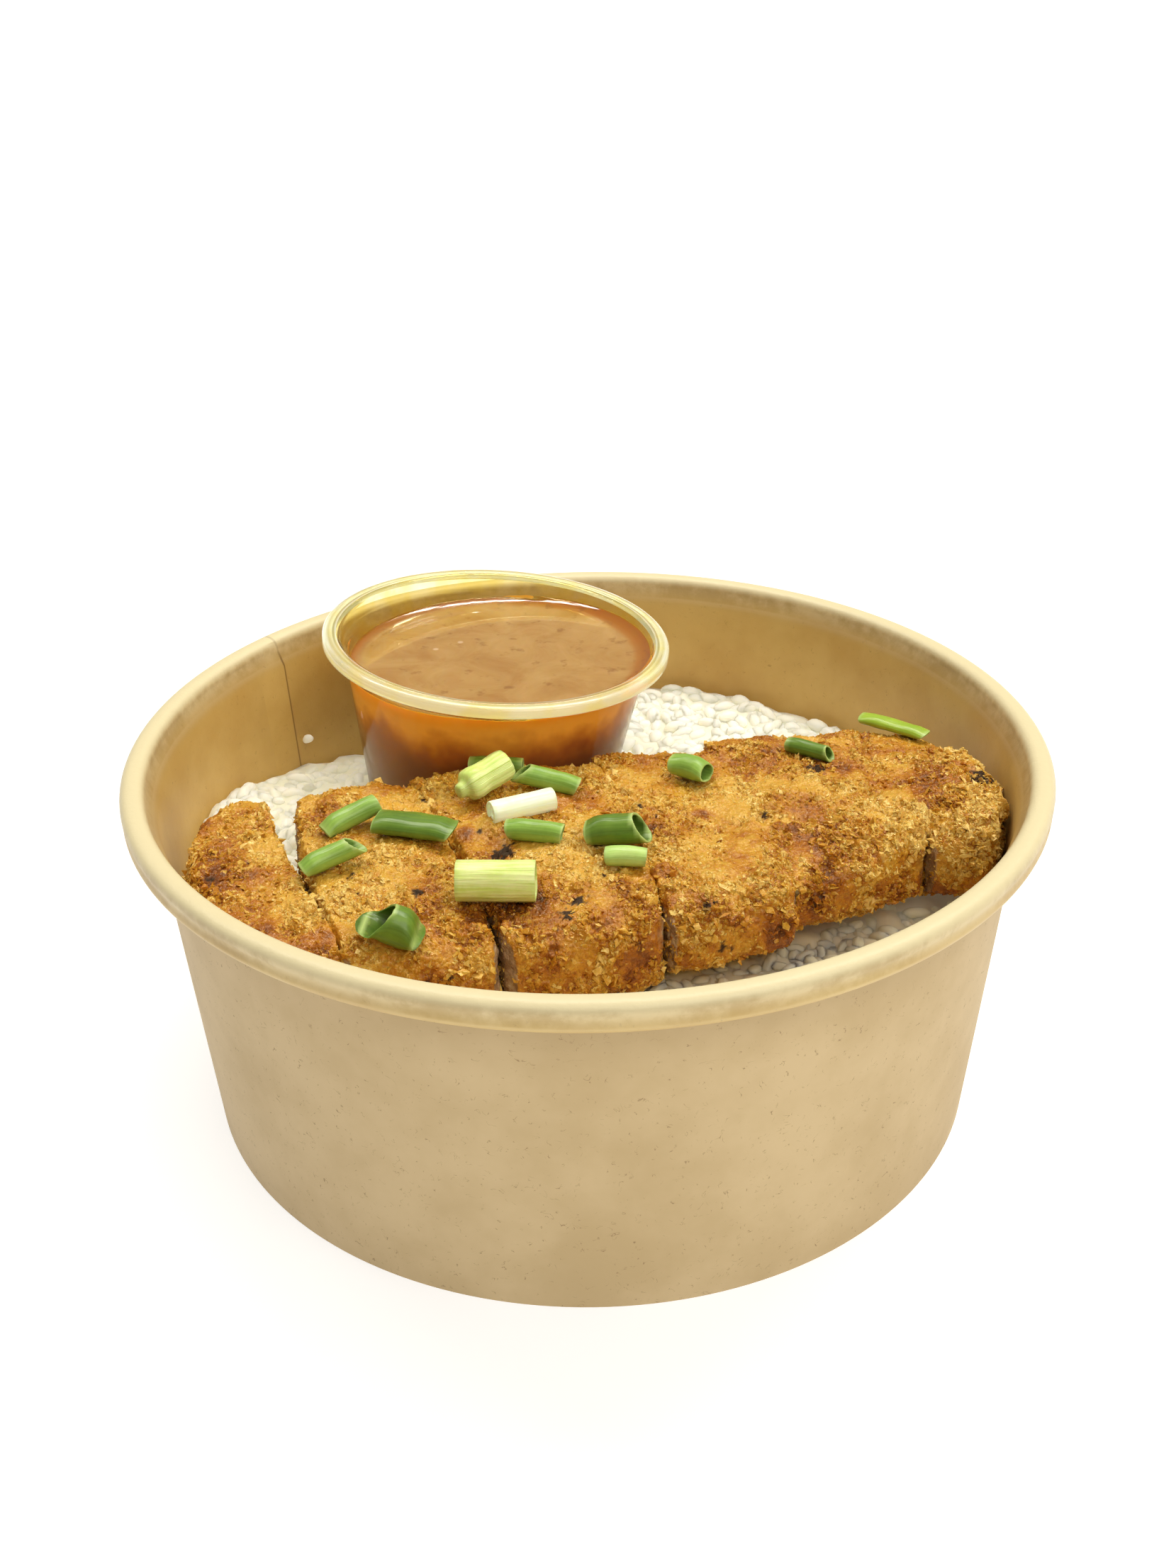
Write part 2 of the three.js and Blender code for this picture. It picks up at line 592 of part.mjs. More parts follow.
// Where each piece lies: its middle in plan, its length and width, the way it points in degrees
// anticlockwise from +X, how far its +X end is raised, and how flat it is pressed. `slants` are
// how far the top of each cut end leans out along the piece, for every millimetre of height.
const ONIONS = [
  { kind: 'leaf', x: -37.7, y: -13.6, length: 9.6, width: 3.3, yaw: 48, slants: [-0.4, 0.2] },
  { kind: 'leaf', x: -27.4, y: -16.7, length: 12.5, width: 4.9, yaw: -15, flat: 0.66, slants: [0, 0.2] },
  { kind: 'leaf', x: -39.4, y: -26.6, length: 9.1, width: 3.1, yaw: 42, slants: [0.3, -0.4] },
  { kind: 'bulb', x: -16.9, y: -4.8, length: 10.4, width: 5.6, yaw: 40, rise: 10 },
  { kind: 'leaf', x: -6.3, y: -3.1, length: 9.8, width: 3.4, yaw: -26, slants: [0.5, 0] },
  { kind: 'stem', x: -10.5, y: -11.4, length: 10.8, width: 3.4, yaw: 24 },
  { kind: 'leaf', x: -8.2, y: -19.8, length: 9, width: 3.4, yaw: -12, slants: [0.3, 0] },
  { kind: 'leaf', x: 4.1, y: -20.4, length: 8.8, width: 4.8, yaw: 7, flat: 0.85, slants: [0.1, 0.5] },
  { kind: 'leaf', x: 5.7, y: -27.3, length: 6.5, width: 3, yaw: -5, slants: [0, 0] },
  { kind: 'paleStem', x: -13.7, y: -35.2, length: 11.8, width: 6.3, yaw: -2 },
  { kind: 'leaf', x: -27.5, y: -44.9, length: 7, width: 6.8, yaw: -24, flat: 0.7, slants: [-0.8, 0.7] },
  { kind: 'leaf', x: 17.2, y: 1, length: 6.6, width: 3.4, yaw: -24, slants: [0.2, -0.4] },
  { kind: 'leaf', x: 37.5, y: 7, length: 7.8, width: 2.7, yaw: -32, slants: [0, -0.5] },
  { kind: 'leaf', x: 54, y: 18.8, length: 12, width: 2.9, yaw: -36, flat: 0.7, slants: [0.4, 0.4] },
  { kind: 'leaf', x: -15.2, y: 3.2, length: 9, width: 3, yaw: -5, slants: [0, 0] },
];

// A green leaf is a tube open at both ends.
function leafOutline({ length, width }) {
  const [outer, inner] = [width / 2, width / 2 - ONION_LEAF];
  const end = length / 2;
  return [[inner, -end], [outer, -end], [outer, end], [inner, end], [inner, -end]];
}

// A stem is layered all through, with the inner layers standing back a little at each end.
function stemOutline({ length, width }) {
  const [outer, inner] = [width / 2, width / 2 - ONION_LEAF];
  const end = length / 2;
  const recess = end - STEM_RECESS;
  const core = inner * STEM_CORE_TAPER;
  return [
    [0, -recess], [core, -recess], [inner, -end], [outer, -end],
    [outer, end], [inner, end], [core, recess], [0, recess],
  ];
}

// The piece from just above the root swells round a thinner shoot that stands out of one end.
function bulbOutline({ length, width }) {
  return BULB_PROFILE.map(([along, out]) => [out * width / 2, along * length / 2]);
}

const ONION_KINDS = {
  leaf: { outline: leafOutline, material: makeOnionGreen },
  stem: { outline: stemOutline, material: makeOnionWhite },
  paleStem: { outline: stemOutline, material: makeOnionPale },
  bulb: { outline: bulbOutline, material: makeOnionPale },
};

// The piece lies along X about its own middle; flattening and slanted cuts are worked into it.
function onionGeometry(onion, outline) {
  const { flat = 1, slants: [leftSlant, rightSlant] = [0, 0] } = onion;
  const piece = turned(outline, ONION_SIDES).rotateY(Math.PI / 2);
  return moveVertices(piece, (point) => {
    point.x += point.z * (point.x < 0 ? -leftSlant : rightSlant);
    point.y *= 1 + (1 - flat) / 2;
    point.z *= flat;
  });
}

// The shortest way from the corners of a mesh that `counts` keeps to what lies in one direction.
function clearance(mesh, direction, targets, counts) {
  const caster = new THREE.Raycaster();
  const position = mesh.geometry.getAttribute('position');
  let nearest = Infinity;
  for (let i = 0; i < position.count; i++) {
    const point = new THREE.Vector3().fromBufferAttribute(position, i).applyMatrix4(mesh.matrixWorld);
    if (!counts(point)) continue;
    caster.set(point, direction);
    const hit = caster.intersectObjects(targets, false)[0];
    if (hit) nearest = Math.min(nearest, hit.distance);
  }
  return nearest;
}

// How far a piece can drop straight down before it touches one of the carriers below it.
function freeDrop(piece, carriers) {
  const [up, down] = [new THREE.Vector3(0, 0, 1), new THREE.Vector3(0, 0, -1)];
  const { min, max } = new THREE.Box3().setFromObject(piece);
  const isUnderPiece = (point) => point.x > min.x && point.x < max.x && point.y > min.y && point.y < max.y;
  const drops = carriers.map((carrier) => clearance(carrier, up, [piece], isUnderPiece));
  return Math.min(clearance(piece, down, carriers, () => true), ...drops);
}

// Each piece is held above the katsu and let down until it rests there.
function makeOnions(slices) {
  return ONIONS.map((onion, i) => {
    const { outline, material } = ONION_KINDS[onion.kind];
    const name = 'spring_onion_' + String(i + 1).padStart(2, '0');
    const piece = namedMesh(name, onionGeometry(onion, outline(onion)), material());
    piece.rotation.order = 'ZYX';
    piece.rotation.z = THREE.MathUtils.degToRad(onion.yaw);
    piece.rotation.y = -THREE.MathUtils.degToRad(onion.rise ?? 0);
    piece.position.set(onion.x, onion.y, 2 * BOWL_HEIGHT);
    piece.updateMatrixWorld(true);
    piece.position.z -= freeDrop(piece, slices) - GAP;
    return piece;
  });
}

// ---- Assembly ----

const katsuBowl = new THREE.Group();
const bowl = makeBowl();
const cup = makeCupWithSauce();
const slices = makeSlices(cup);
const rice = makeRiceBed(cup);
katsuBowl.add(bowl, rice, cup, ...slices, ...makeOnions(slices));

export default katsuBowl;
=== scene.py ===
import math

import bmesh
import bpy
import numpy as np
from mathutils import Matrix, Vector, noise
from mathutils.bvhtree import BVHTree


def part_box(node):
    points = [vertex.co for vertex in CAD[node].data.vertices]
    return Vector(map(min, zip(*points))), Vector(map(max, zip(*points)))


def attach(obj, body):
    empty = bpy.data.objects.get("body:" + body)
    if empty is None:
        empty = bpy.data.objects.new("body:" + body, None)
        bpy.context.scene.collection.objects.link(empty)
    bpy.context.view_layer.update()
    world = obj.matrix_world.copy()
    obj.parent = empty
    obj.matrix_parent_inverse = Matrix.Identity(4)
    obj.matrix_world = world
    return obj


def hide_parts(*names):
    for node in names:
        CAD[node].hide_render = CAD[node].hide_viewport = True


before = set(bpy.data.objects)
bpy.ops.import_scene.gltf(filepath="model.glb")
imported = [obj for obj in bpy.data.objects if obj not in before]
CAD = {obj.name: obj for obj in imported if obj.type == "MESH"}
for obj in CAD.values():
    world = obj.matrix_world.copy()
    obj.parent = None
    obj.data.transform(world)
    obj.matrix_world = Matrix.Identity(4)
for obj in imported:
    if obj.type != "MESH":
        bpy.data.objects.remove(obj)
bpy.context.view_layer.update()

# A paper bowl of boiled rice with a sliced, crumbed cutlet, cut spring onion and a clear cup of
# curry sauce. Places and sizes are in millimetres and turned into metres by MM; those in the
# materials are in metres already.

MM = 0.001

# ---- Camera ----

FRAME_PIXELS = (1659, 2212)
EYE = Vector((0, -253.557, 189.507))
CAMERA_RIGHT = Vector((0.999889217, -0.00737024806, -0.012931873))
CAMERA_UP = Vector((0.0148812462, 0.476308389, 0.879152357))
CAMERA_BACK = Vector((-0.00032001137, -0.879247405, 0.4763653))
FOCAL_PIXELS = 2447.5
SENSOR = 36.0

# ---- Paper bowl ----

RIM_RADIUS = 74.995
RIM_ROLL = (4.1, 4.9)  # width and height
RIM_SQUARENESS = 2.6
RIM_HOLLOW = (0.45, -0.2, 0.85)  # the roll's outer face is drawn in: depth, height and spread
ROLL_OUTSIDE = (176, -140, 44)  # first and last angle, and number of points
ROLL_INSIDE = (-140, 168, 14)
WALL_STEPS = 8
BOWL_HEIGHT = 60.8
FOOT_RADIUS = 65.6
FOOT_WIDTH = 1.4
WALL_RADIUS_AT_RIM = 70.14
PAPER = 0.55
BASE_UNDERSIDE = 4.9
BASE_TOP = 5.6
BOWL_SIDES = 192
SEAM_ANGLE = math.radians(143.8)
SEAM_WIDTH = 8
SEAM_PAPER = 0.35
SEAM_CLEARANCE = 0.05
SEAM_END = ((0.12, 2.5), (0.3, 3.6), (0.9, 4.5))  # where the strip runs out inside the roll: out and up
ROLL_BOTTOM = BOWL_HEIGHT - RIM_ROLL[1]
WALL_SLOPE = (WALL_RADIUS_AT_RIM - FOOT_RADIUS) / ROLL_BOTTOM

# ---- Rice ----

RICE_LEVEL = 36.3
RICE_HILLS = (  # x, y, rise, spread
    (-66, 14, 4, 13),
    (-46, 52, -5, 15),
    (24, 60, 1.6, 26),
)
RICE_RINGS = 60
RICE_SIDES = 220
GRAIN = (5.0, 2.6, 2.3)  # length, width and thickness
GRAIN_SEED = 11
GRAIN_FIELD = 68  # half the width of the square the grains fall on
GRAIN_TO_WALL = 1.3
GRAIN_TO_CUP = 1.0
LINED_UP = 3.4  # grains nearer than this to the wall or the cup lie along it
CORE_LIFT = 0.75  # how far the core stands up among the grains
GRAIN_LAYERS = (  # tries, distance between grains, lift, how steeply they lie
    (14000, 1.75, 0.0, 0.25),
    (3000, 2.9, 0.5, 0.35),
)
STRAY_GRAIN = ((-53.0, 41.1, 40.5), 0.93, (0.45, 0.7, 0.7))  # place, turn and size

# ---- Sauce cup ----

CUP_RIM_CENTRE = Vector((-15.7, 31, 66.3))
CUP_TILT = math.radians(4.7)
CUP_RIM_RADIUS = 30.8
CUP_NECK_RADIUS = 27.9
CUP_BODY_RADIUS = 26.8
CUP_BASE_RADIUS = 22.2
CUP_SHOULDER = 3.8
CUP_HEIGHT = 31
CUP_LIP = 2
CUP_WALL = 0.6
CUP_SLOPE = (CUP_BODY_RADIUS - CUP_BASE_RADIUS) / (CUP_HEIGHT - CUP_SHOULDER)
CUP_SIDES = 144
LIP_START = CUP_NECK_RADIUS + 0.4
SAUCE_LEVEL = 61.3
# Painted highlights: pale spots on two small bumps of the sauce.
SAUCE_GLINTS = ((-27.2, 35.6, 61.3), (-22.9, 38.6, 61.3))
SAUCE_MARGIN = (24.3, 1.5)  # where the oily margin starts and how wide it is
MENISCUS = ((0.35, 0.26), (0.5, 0.27), (0.6, 0.25), (0.8, 0.2), (1.0, 0.1), (1.2, 0.02))  # width, drop


# ---- Modelling helpers ----

def deselect_all():
    active = bpy.context.view_layer.objects.active
    if active and active.mode != "OBJECT":
        bpy.ops.object.mode_set(mode="OBJECT")
    bpy.ops.object.select_all(action="DESELECT")


def work_on(piece):
    deselect_all()
    piece.select_set(True)
    bpy.context.view_layer.objects.active = piece


def edit(piece):
    work_on(piece)
    bpy.ops.object.mode_set(mode="EDIT")


def edit_done():
    bpy.ops.object.mode_set(mode="OBJECT")


def started(name):
    """The piece that was just made, under its name."""
    piece = bpy.context.view_layer.objects.active
    piece.name = piece.data.name = name
    return piece


def primitive(add, name, **settings):
    """A new primitive, with its place and turn put into its mesh."""
    deselect_all()
    add(**settings)
    piece = started(name)
    settle(piece)
    return piece


def settle(piece):
    """Puts the piece's place and turn into its mesh."""
    work_on(piece)
    bpy.ops.object.transform_apply(location=True, rotation=True, scale=True)


def modify(piece, kind, **settings):
    """Adds one modifier and applies it."""
    work_on(piece)
    modifier = piece.modifiers.new(kind.title(), kind)
    for name, value in settings.items():
        setattr(modifier, name, value)
    bpy.ops.object.modifier_apply(modifier=modifier.name)


def displace(piece, texture, height, where="", middle=0.5):
    modify(piece, "DISPLACE", texture=texture, strength=height * MM, mid_level=middle, vertex_group=where)


def thicken(piece, thickness):
    modify(piece, "SOLIDIFY", thickness=thickness * MM, offset=-1.0)


def soften(piece, width):
    modify(
        piece, "BEVEL", width=width * MM, segments=2, limit_method="ANGLE", angle_limit=math.radians(50))


def joined(name, pieces):
    deselect_all()
    for piece in pieces:
        piece.select_set(True)
    bpy.context.view_layer.objects.active = pieces[0]
    bpy.ops.object.join()
    return started(name)


def select_everything():
    bpy.ops.mesh.select_all(action="SELECT")


def face_outwards():
    select_everything()
    bpy.ops.mesh.normals_make_consistent(inside=False)


def cut_at(centre, direction, **settings):
    """In edit mode, cuts everything along a plane."""
    select_everything()
    bpy.ops.mesh.bisect(plane_co=centre, plane_no=direction, **settings)


def select_where(piece, test, kind="FACE"):
    """In edit mode, selects the faces or edges that the test keeps."""
    bpy.ops.mesh.select_all(action="DESELECT")
    mesh = bmesh.from_edit_mesh(piece.data)
    bpy.context.tool_settings.mesh_select_mode = (False, kind == "EDGE", kind == "FACE")
    for part in mesh.faces if kind == "FACE" else mesh.edges:
        part.select_set(test(part))
    mesh.select_flush_mode()
    bmesh.update_edit_mesh(piece.data)


def turned(name, outline, sides, capped=True, start_angle=0.0):
    """A circle at the first (radius, height), extruded through the others about the Z axis."""
    (radius, height), *rest = outline
    piece = primitive(
        bpy.ops.mesh.primitive_circle_add, name, vertices=sides, radius=radius * MM,
        location=(0, 0, height * MM), rotation=(0, 0, start_angle),
        fill_type="NGON" if capped else "NOTHING")
    extrude = bpy.ops.mesh.extrude_region_move if capped else bpy.ops.mesh.extrude_edges_move
    edit(piece)
    select_everything()
    for next_radius, next_height in rest:
        extrude(TRANSFORM_OT_translate={"value": (0, 0, (next_height - height) * MM)})
        growth = next_radius / radius
        bpy.ops.transform.resize(value=(growth, growth, 1), center_override=(0, 0, 0))
        radius, height = next_radius, next_height
    if capped:
        face_outwards()
    edit_done()
    return piece


def smooth(piece, angle=None):
    work_on(piece)
    if angle is None:
        bpy.ops.object.shade_smooth()
    else:
        bpy.ops.object.shade_smooth_by_angle(angle=math.radians(angle))


def finished(piece, material, slot, *nodes):
    """Gives the piece its material and lets it ride, in place of the CAD nodes named; the slot is not used.
    """
    piece.data.materials.append(material)
    added(piece, slot, *nodes)
    return piece


def two_looks(piece, first, second, test):
    """Gives the piece two materials, the second where the test keeps a face."""
    piece.data.materials.append(first)
    piece.data.materials.append(second)
    for face in piece.data.polygons:
        face.material_index = 1 if test(face.center / MM, face.normal) else 0


def added(piece, slot, *nodes):
    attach(piece, "root")
    if nodes:
        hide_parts(*nodes)


def listed(items, name, width=1, kind=float):
    """One property of all items of a mesh, in rows where it is more than one number."""
    values = np.empty(len(items) * width, kind)
    items.foreach_get(name, values)
    return values.reshape(-1, width) if width > 1 else values


def points_of(mesh):
    return listed(mesh.vertices, "co", 3)


def normals_of(mesh):
    return listed(mesh.vertex_normals, "vector", 3)


def attribute_of(mesh, name):
    return listed(mesh.attributes[name].data, "value", 1, np.float32)


def set_points(mesh, points):
    mesh.vertices.foreach_set("co", points.astype(np.float32).ravel())
    mesh.update()


def set_attribute(mesh, name, values):
    attribute = mesh.attributes.get(name) or mesh.attributes.new(name, "FLOAT", "POINT")
    attribute.data.foreach_set("value", np.asarray(values, np.float32))


def scattered(name, shape, matrices, tints, crooks=0):
    """One mesh of copies of a shape, each with its own place and tint, and its points off by crooks."""
    base = points_of(shape.data)
    polygons = [tuple(polygon.vertices) for polygon in shape.data.polygons]
    removed(shape)
    size, matrices = len(base), np.array(matrices)
    shapes = np.broadcast_to(base[None] + crooks, (len(matrices), size, 3))
    points = np.einsum("nij,nvj->nvi", matrices[:, :3, :3], shapes) + matrices[:, None, :3, 3]
    starts = np.arange(len(matrices))[:, None, None] * size
    faces = []
    for corners in (3, 4):
        alike = [polygon for polygon in polygons if len(polygon) == corners]
        alike = np.array(alike, int).reshape(-1, corners)
        faces += (alike[None] + starts).reshape(-1, corners).tolist()
    mesh = bpy.data.meshes.new(name)
    mesh.from_pydata(points.reshape(-1, 3).tolist(), [], faces)
    set_attribute(mesh, "tint", np.repeat(tints, size))
    piece = bpy.data.objects.new(name, mesh)
    bpy.context.scene.collection.objects.link(piece)
    return piece


def removed(piece):
    bpy.data.objects.remove(piece)


# ---- Shader helpers ----

def feed(socket, value):
    """Links an output to a socket, or sets the socket's value."""
    if isinstance(value, bpy.types.NodeSocket):
        socket.id_data.links.new(value, socket)
    elif isinstance(value, tuple) and len(value) == 3 and socket.type == "RGBA":
        socket.default_value = (*value, 1)
    else:
        socket.default_value = value


def node(tree, kind, inputs=None, **settings):
    made = tree.nodes.new("ShaderNode" + kind)
    for name, value in settings.items():
        setattr(made, name, value)
    for name, value in (inputs or {}).items():
        feed(made.inputs[name], value)
    return made


def place(tree):
    return node(tree, "TexCoord").outputs["Object"]


def attribute(tree, name):
    return node(tree, "Attribute", attribute_name=name).outputs["Fac"]


def noise_value(vector, scale, detail=2.0, roughness=0.5, distortion=0.0):
    return node(vector.id_data, "TexNoise", {
        "Vector": vector, "Scale": scale, "Detail": detail,
        "Roughness": roughness, "Distortion": distortion}).outputs["Fac"]


def axis_of(vector, axis):
    return node(vector.id_data, "SeparateXYZ", {"Vector": vector}).outputs[axis]


def measured(operation, first, second=(0, 0, 0)):
    """One number from two directions or places."""
    return node(first.id_data, "VectorMath", {0: first, 1: second}, operation=operation).outputs["Value"]


def maths(operation):
    """A function that works on numbers, at least one of which comes from a socket."""
    def result(*values):
        tree = next(value.id_data for value in values if isinstance(value, bpy.types.NodeSocket))
        return node(tree, "Math", dict(enumerate(values)), operation=operation).outputs["Value"]
    return result


plus, minus, times = maths("ADD"), maths("SUBTRACT"), maths("MULTIPLY")
times_plus, unsigned, larger = maths("MULTIPLY_ADD"), maths("ABSOLUTE"), maths("MAXIMUM")


def ranged(value, low, high, to_low=0.0, to_high=1.0, smooth_step=True):
    return node(value.id_data, "MapRange", {
        "Value": value, "From Min": low, "From Max": high, "To Min": to_low, "To Max": to_high},
        interpolation_type="SMOOTHSTEP" if smooth_step else "LINEAR").outputs["Result"]


def mixed(factor, first, second, blend="MIX"):
    inputs = {0: factor, 6: first, 7: second}
    return node(factor.id_data, "Mix", inputs, data_type="RGBA", blend_type=blend).outputs[2]


def ramp(factor, *stops):
    """A colour ramp of (position, colour) stops."""
    made = node(factor.id_data, "ValToRGB", {"Fac": factor})
    elements = made.color_ramp.elements
    while len(elements) < len(stops):
        elements.new(0.5)
    for element, (position, colour) in zip(elements, stops):
        element.position = position
        element.color = (*colour, 1)
    return made.outputs["Color"]


def bump(height, strength, distance, normal=None):
    inputs = {"Height": height, "Strength": strength, "Distance": distance}
    if normal:
        inputs["Normal"] = normal
    return node(height.id_data, "Bump", inputs).outputs["Normal"]


def material(name, **values):
    """A material and its node tree, with constants set on the main shader."""
    made = bpy.data.materials.new(name)
    made.use_nodes = True
    shade(made, **values)
    return made, made.node_tree


def shade(made, **values):
    """Sets or feeds the main shader's sockets, which are named with _ for a space."""
    shader = made.node_tree.nodes["Principled BSDF"]
    for socket, value in values.items():
        feed(shader.inputs[socket.replace("_", " ")], value)


def group(name, inputs, outputs):
    """An empty node group with its sockets: {name: kind}, the kinds as in NodeSocketFloat."""
    made = bpy.data.node_groups.new(name, "ShaderNodeTree")
    for socket, kind in inputs.items():
        made.interface.new_socket(socket, in_out="INPUT", socket_type="NodeSocket" + kind)
    for socket, kind in outputs.items():
        made.interface.new_socket(socket, in_out="OUTPUT", socket_type="NodeSocket" + kind)
    return made, made.nodes.new("NodeGroupInput").outputs, made.nodes.new("NodeGroupOutput").inputs


def use(tree, effect, inputs):
    made = tree.nodes.new("ShaderNodeGroup")
    made.node_tree = effect
    for name, value in inputs.items():
        feed(made.inputs[name], value)
    return made.outputs


def mottled(where, large, small, share):
    inputs = {"Vector": where, "Large": large, "Small": small, "Share": share}
    return use(where.id_data, MOTTLE, inputs)["Value"]


# ---- Shared effects ----

def make_fibres():
    """Paper fibres: fine curly lines broken into short lengths, over soft clouds."""
    tree, given, out = group(
        "paper fibres", {"Vector": "Vector", "Scale": "Float", "Amount": "Float"},
        {"Fibre": "Float", "Cloud": "Float", "Height": "Float"})
    where, scale = given["Vector"], given["Scale"]
    line = noise_value(where, scale, 2.0, 0.5, 1.4)
    thin = ranged(unsigned(minus(line, 0.5)), 0.0, 0.014, 1.0, 0.0)
    breaks = ranged(noise_value(where, times(scale, 2.3), 1.0), 0.56, 0.66)
    fibre = times(times(thin, breaks), given["Amount"])
    feed(out["Fibre"], fibre)
    feed(out["Cloud"], noise_value(where, times(scale, 0.12), 4.0, 0.6))
    tooth = noise_value(where, times(scale, 6.0), 3.0, 0.6)
    feed(out["Height"], times_plus(fibre, 0.5, tooth))
    return tree


def make_mottle():
    """Patches of two sizes laid over each other, from 0 to 1."""
    tree, given, out = group(
        "mottle", {"Vector": "Vector", "Large": "Float", "Small": "Float", "Share": "Float"},
        {"Value": "Float"})
    large = noise_value(given["Vector"], given["Large"], 3.0, 0.55)
    small = noise_value(given["Vector"], given["Small"], 4.0, 0.6)
    both = node(tree, "Mix", {"Factor": given["Share"], "A": large, "B": small})
    feed(out["Value"], both.outputs["Result"])
    return tree


def make_ribs():
    """Fine ribs that run along a stalk, from its own U round and V along."""
    tree, given, out = group(
        "stalk ribs", {"Round": "Float", "Along": "Float"}, {"Rib": "Float", "Streak": "Float"})
    coordinates = node(tree, "TexCoord").outputs["UV"]
    stretch = node(tree, "CombineXYZ", {"X": given["Round"], "Y": given["Along"]})
    scaled = node(tree, "VectorMath", {0: coordinates, 1: stretch.outputs[0]}, operation="MULTIPLY")
    feed(out["Rib"], noise_value(scaled.outputs[0], 1.0, 1.0))
    feed(out["Streak"], noise_value(scaled.outputs[0], 0.4, 3.0, 0.65))
    return tree


FIBRES = make_fibres()
MOTTLE = make_mottle()
RIBS = make_ribs()


# ---- Materials ----

def kraft(name, pale, deep, fleck, roughness, fibre_amount):
    """A paper material, with its places, colour and normal for further work."""
    made, tree = material(name, Roughness=roughness, Specular_IOR_Level=0.4)
    where = place(tree)
    paper = use(tree, FIBRES, {"Vector": where, "Scale": 420.0, "Amount": fibre_amount})
    colour = mixed(ranged(paper["Cloud"], 0.3, 0.7), pale, deep)
    colour = mixed(paper["Fibre"], colour, fleck)
    return made, where, colour, bump(paper["Height"], 0.25, 0.00008)


def make_kraft_outside():
    made, where, colour, tooth = kraft(
        "kraft outside", (0.62, 0.465, 0.25), (0.53, 0.385, 0.19), (0.25, 0.15, 0.06), 0.6, 0.8)
    # Painted shade: the outer wall is darker just under the rim's overhang.
    rim_shadow = ranged(axis_of(where, "Z"), 0.043, 0.0555, 0.0, 0.3)
    shade(made, Base_Color=mixed(rim_shadow, colour, (0.36, 0.25, 0.11)), Normal=tooth)
    return made


def make_kraft_inside():
    made, where, colour, tooth = kraft(
        "kraft inside", (0.65, 0.45, 0.15), (0.55, 0.345, 0.097), (0.30, 0.16, 0.04), 0.42, 0.5)
    height = axis_of(where, "Z")
    # Painted light: the roll is the same paper as the inner wall but paler, as light from above falls on it;
    # the mottle on it is wear.
    on_rim = ranged(height, 0.0553, 0.0598)
    worn = mottled(where, 70.0, 420.0, 0.45)
    rim_colour = mixed(ranged(worn, 0.38, 0.6), (0.52, 0.385, 0.18), (0.70, 0.565, 0.31))
    # Painted highlight: a paler band along the top of the roll and a thin pale line along its lower ridge.
    ridge_highlight = ranged(unsigned(minus(height, 0.0567)), 0.0002, 0.0006, 0.8, 0.0)
    rim_highlight = larger(ranged(height, 0.0592, 0.0605), ridge_highlight)
    colour = mixed(on_rim, colour, mixed(rim_highlight, rim_colour, (0.75, 0.65, 0.40)))
    across = measured("DOT_PRODUCT", where, (-math.sin(SEAM_ANGLE), math.cos(SEAM_ANGLE), 0))
    outwards = measured("DOT_PRODUCT", where, (math.cos(SEAM_ANGLE), math.sin(SEAM_ANGLE), 0))
    # Painted shadow: a thin dark line along the edge of the seam's overlap, fainter towards the rim.
    seam_shadow = times(ranged(unsigned(across), 0.00012, 0.0004, 0.75, 0.0), ranged(outwards, 0.03, 0.04))
    seam_shadow = times(seam_shadow, ranged(height, 0.0565, 0.059, 1.0, 0.35))
    colour = mixed(seam_shadow, colour, (0.17, 0.085, 0.03))
    shade(made, Base_Color=colour, Normal=bump(times(worn, on_rim), 0.5, 0.0006, tooth))
    return made


def make_rice():
    # The rice's emission is painted light: a faint glow.
    made, tree = material(
        "boiled rice", Roughness=0.5, Specular_IOR_Level=0.25, Subsurface_Weight=0.9,
        Subsurface_Scale=0.0035, Subsurface_Radius=(1.0, 0.9, 0.7), Emission_Strength=0.1)
    where = place(tree)
    mottle = mottled(where, 160.0, 700.0, 0.5)
    tone = ranged(plus(times(attribute(tree, "tint"), 0.5), mottle), 0.3, 1.1)
    colour = mixed(tone, (0.93, 0.895, 0.69), (0.97, 0.945, 0.80))
    # Painted shade and light: the rice is darker towards the front, where the bowl's wall and the cutlet
    # shade it, and only the rice behind glows.
    lit_back = ranged(axis_of(where, "Y"), -0.03, 0.004)
    shade(
        made, Base_Color=mixed(lit_back, (0.80, 0.69, 0.46), colour),
        Emission_Color=mixed(lit_back, (0.0, 0.0, 0.0), colour), Normal=bump(mottle, 0.2, 0.0002))
    return made


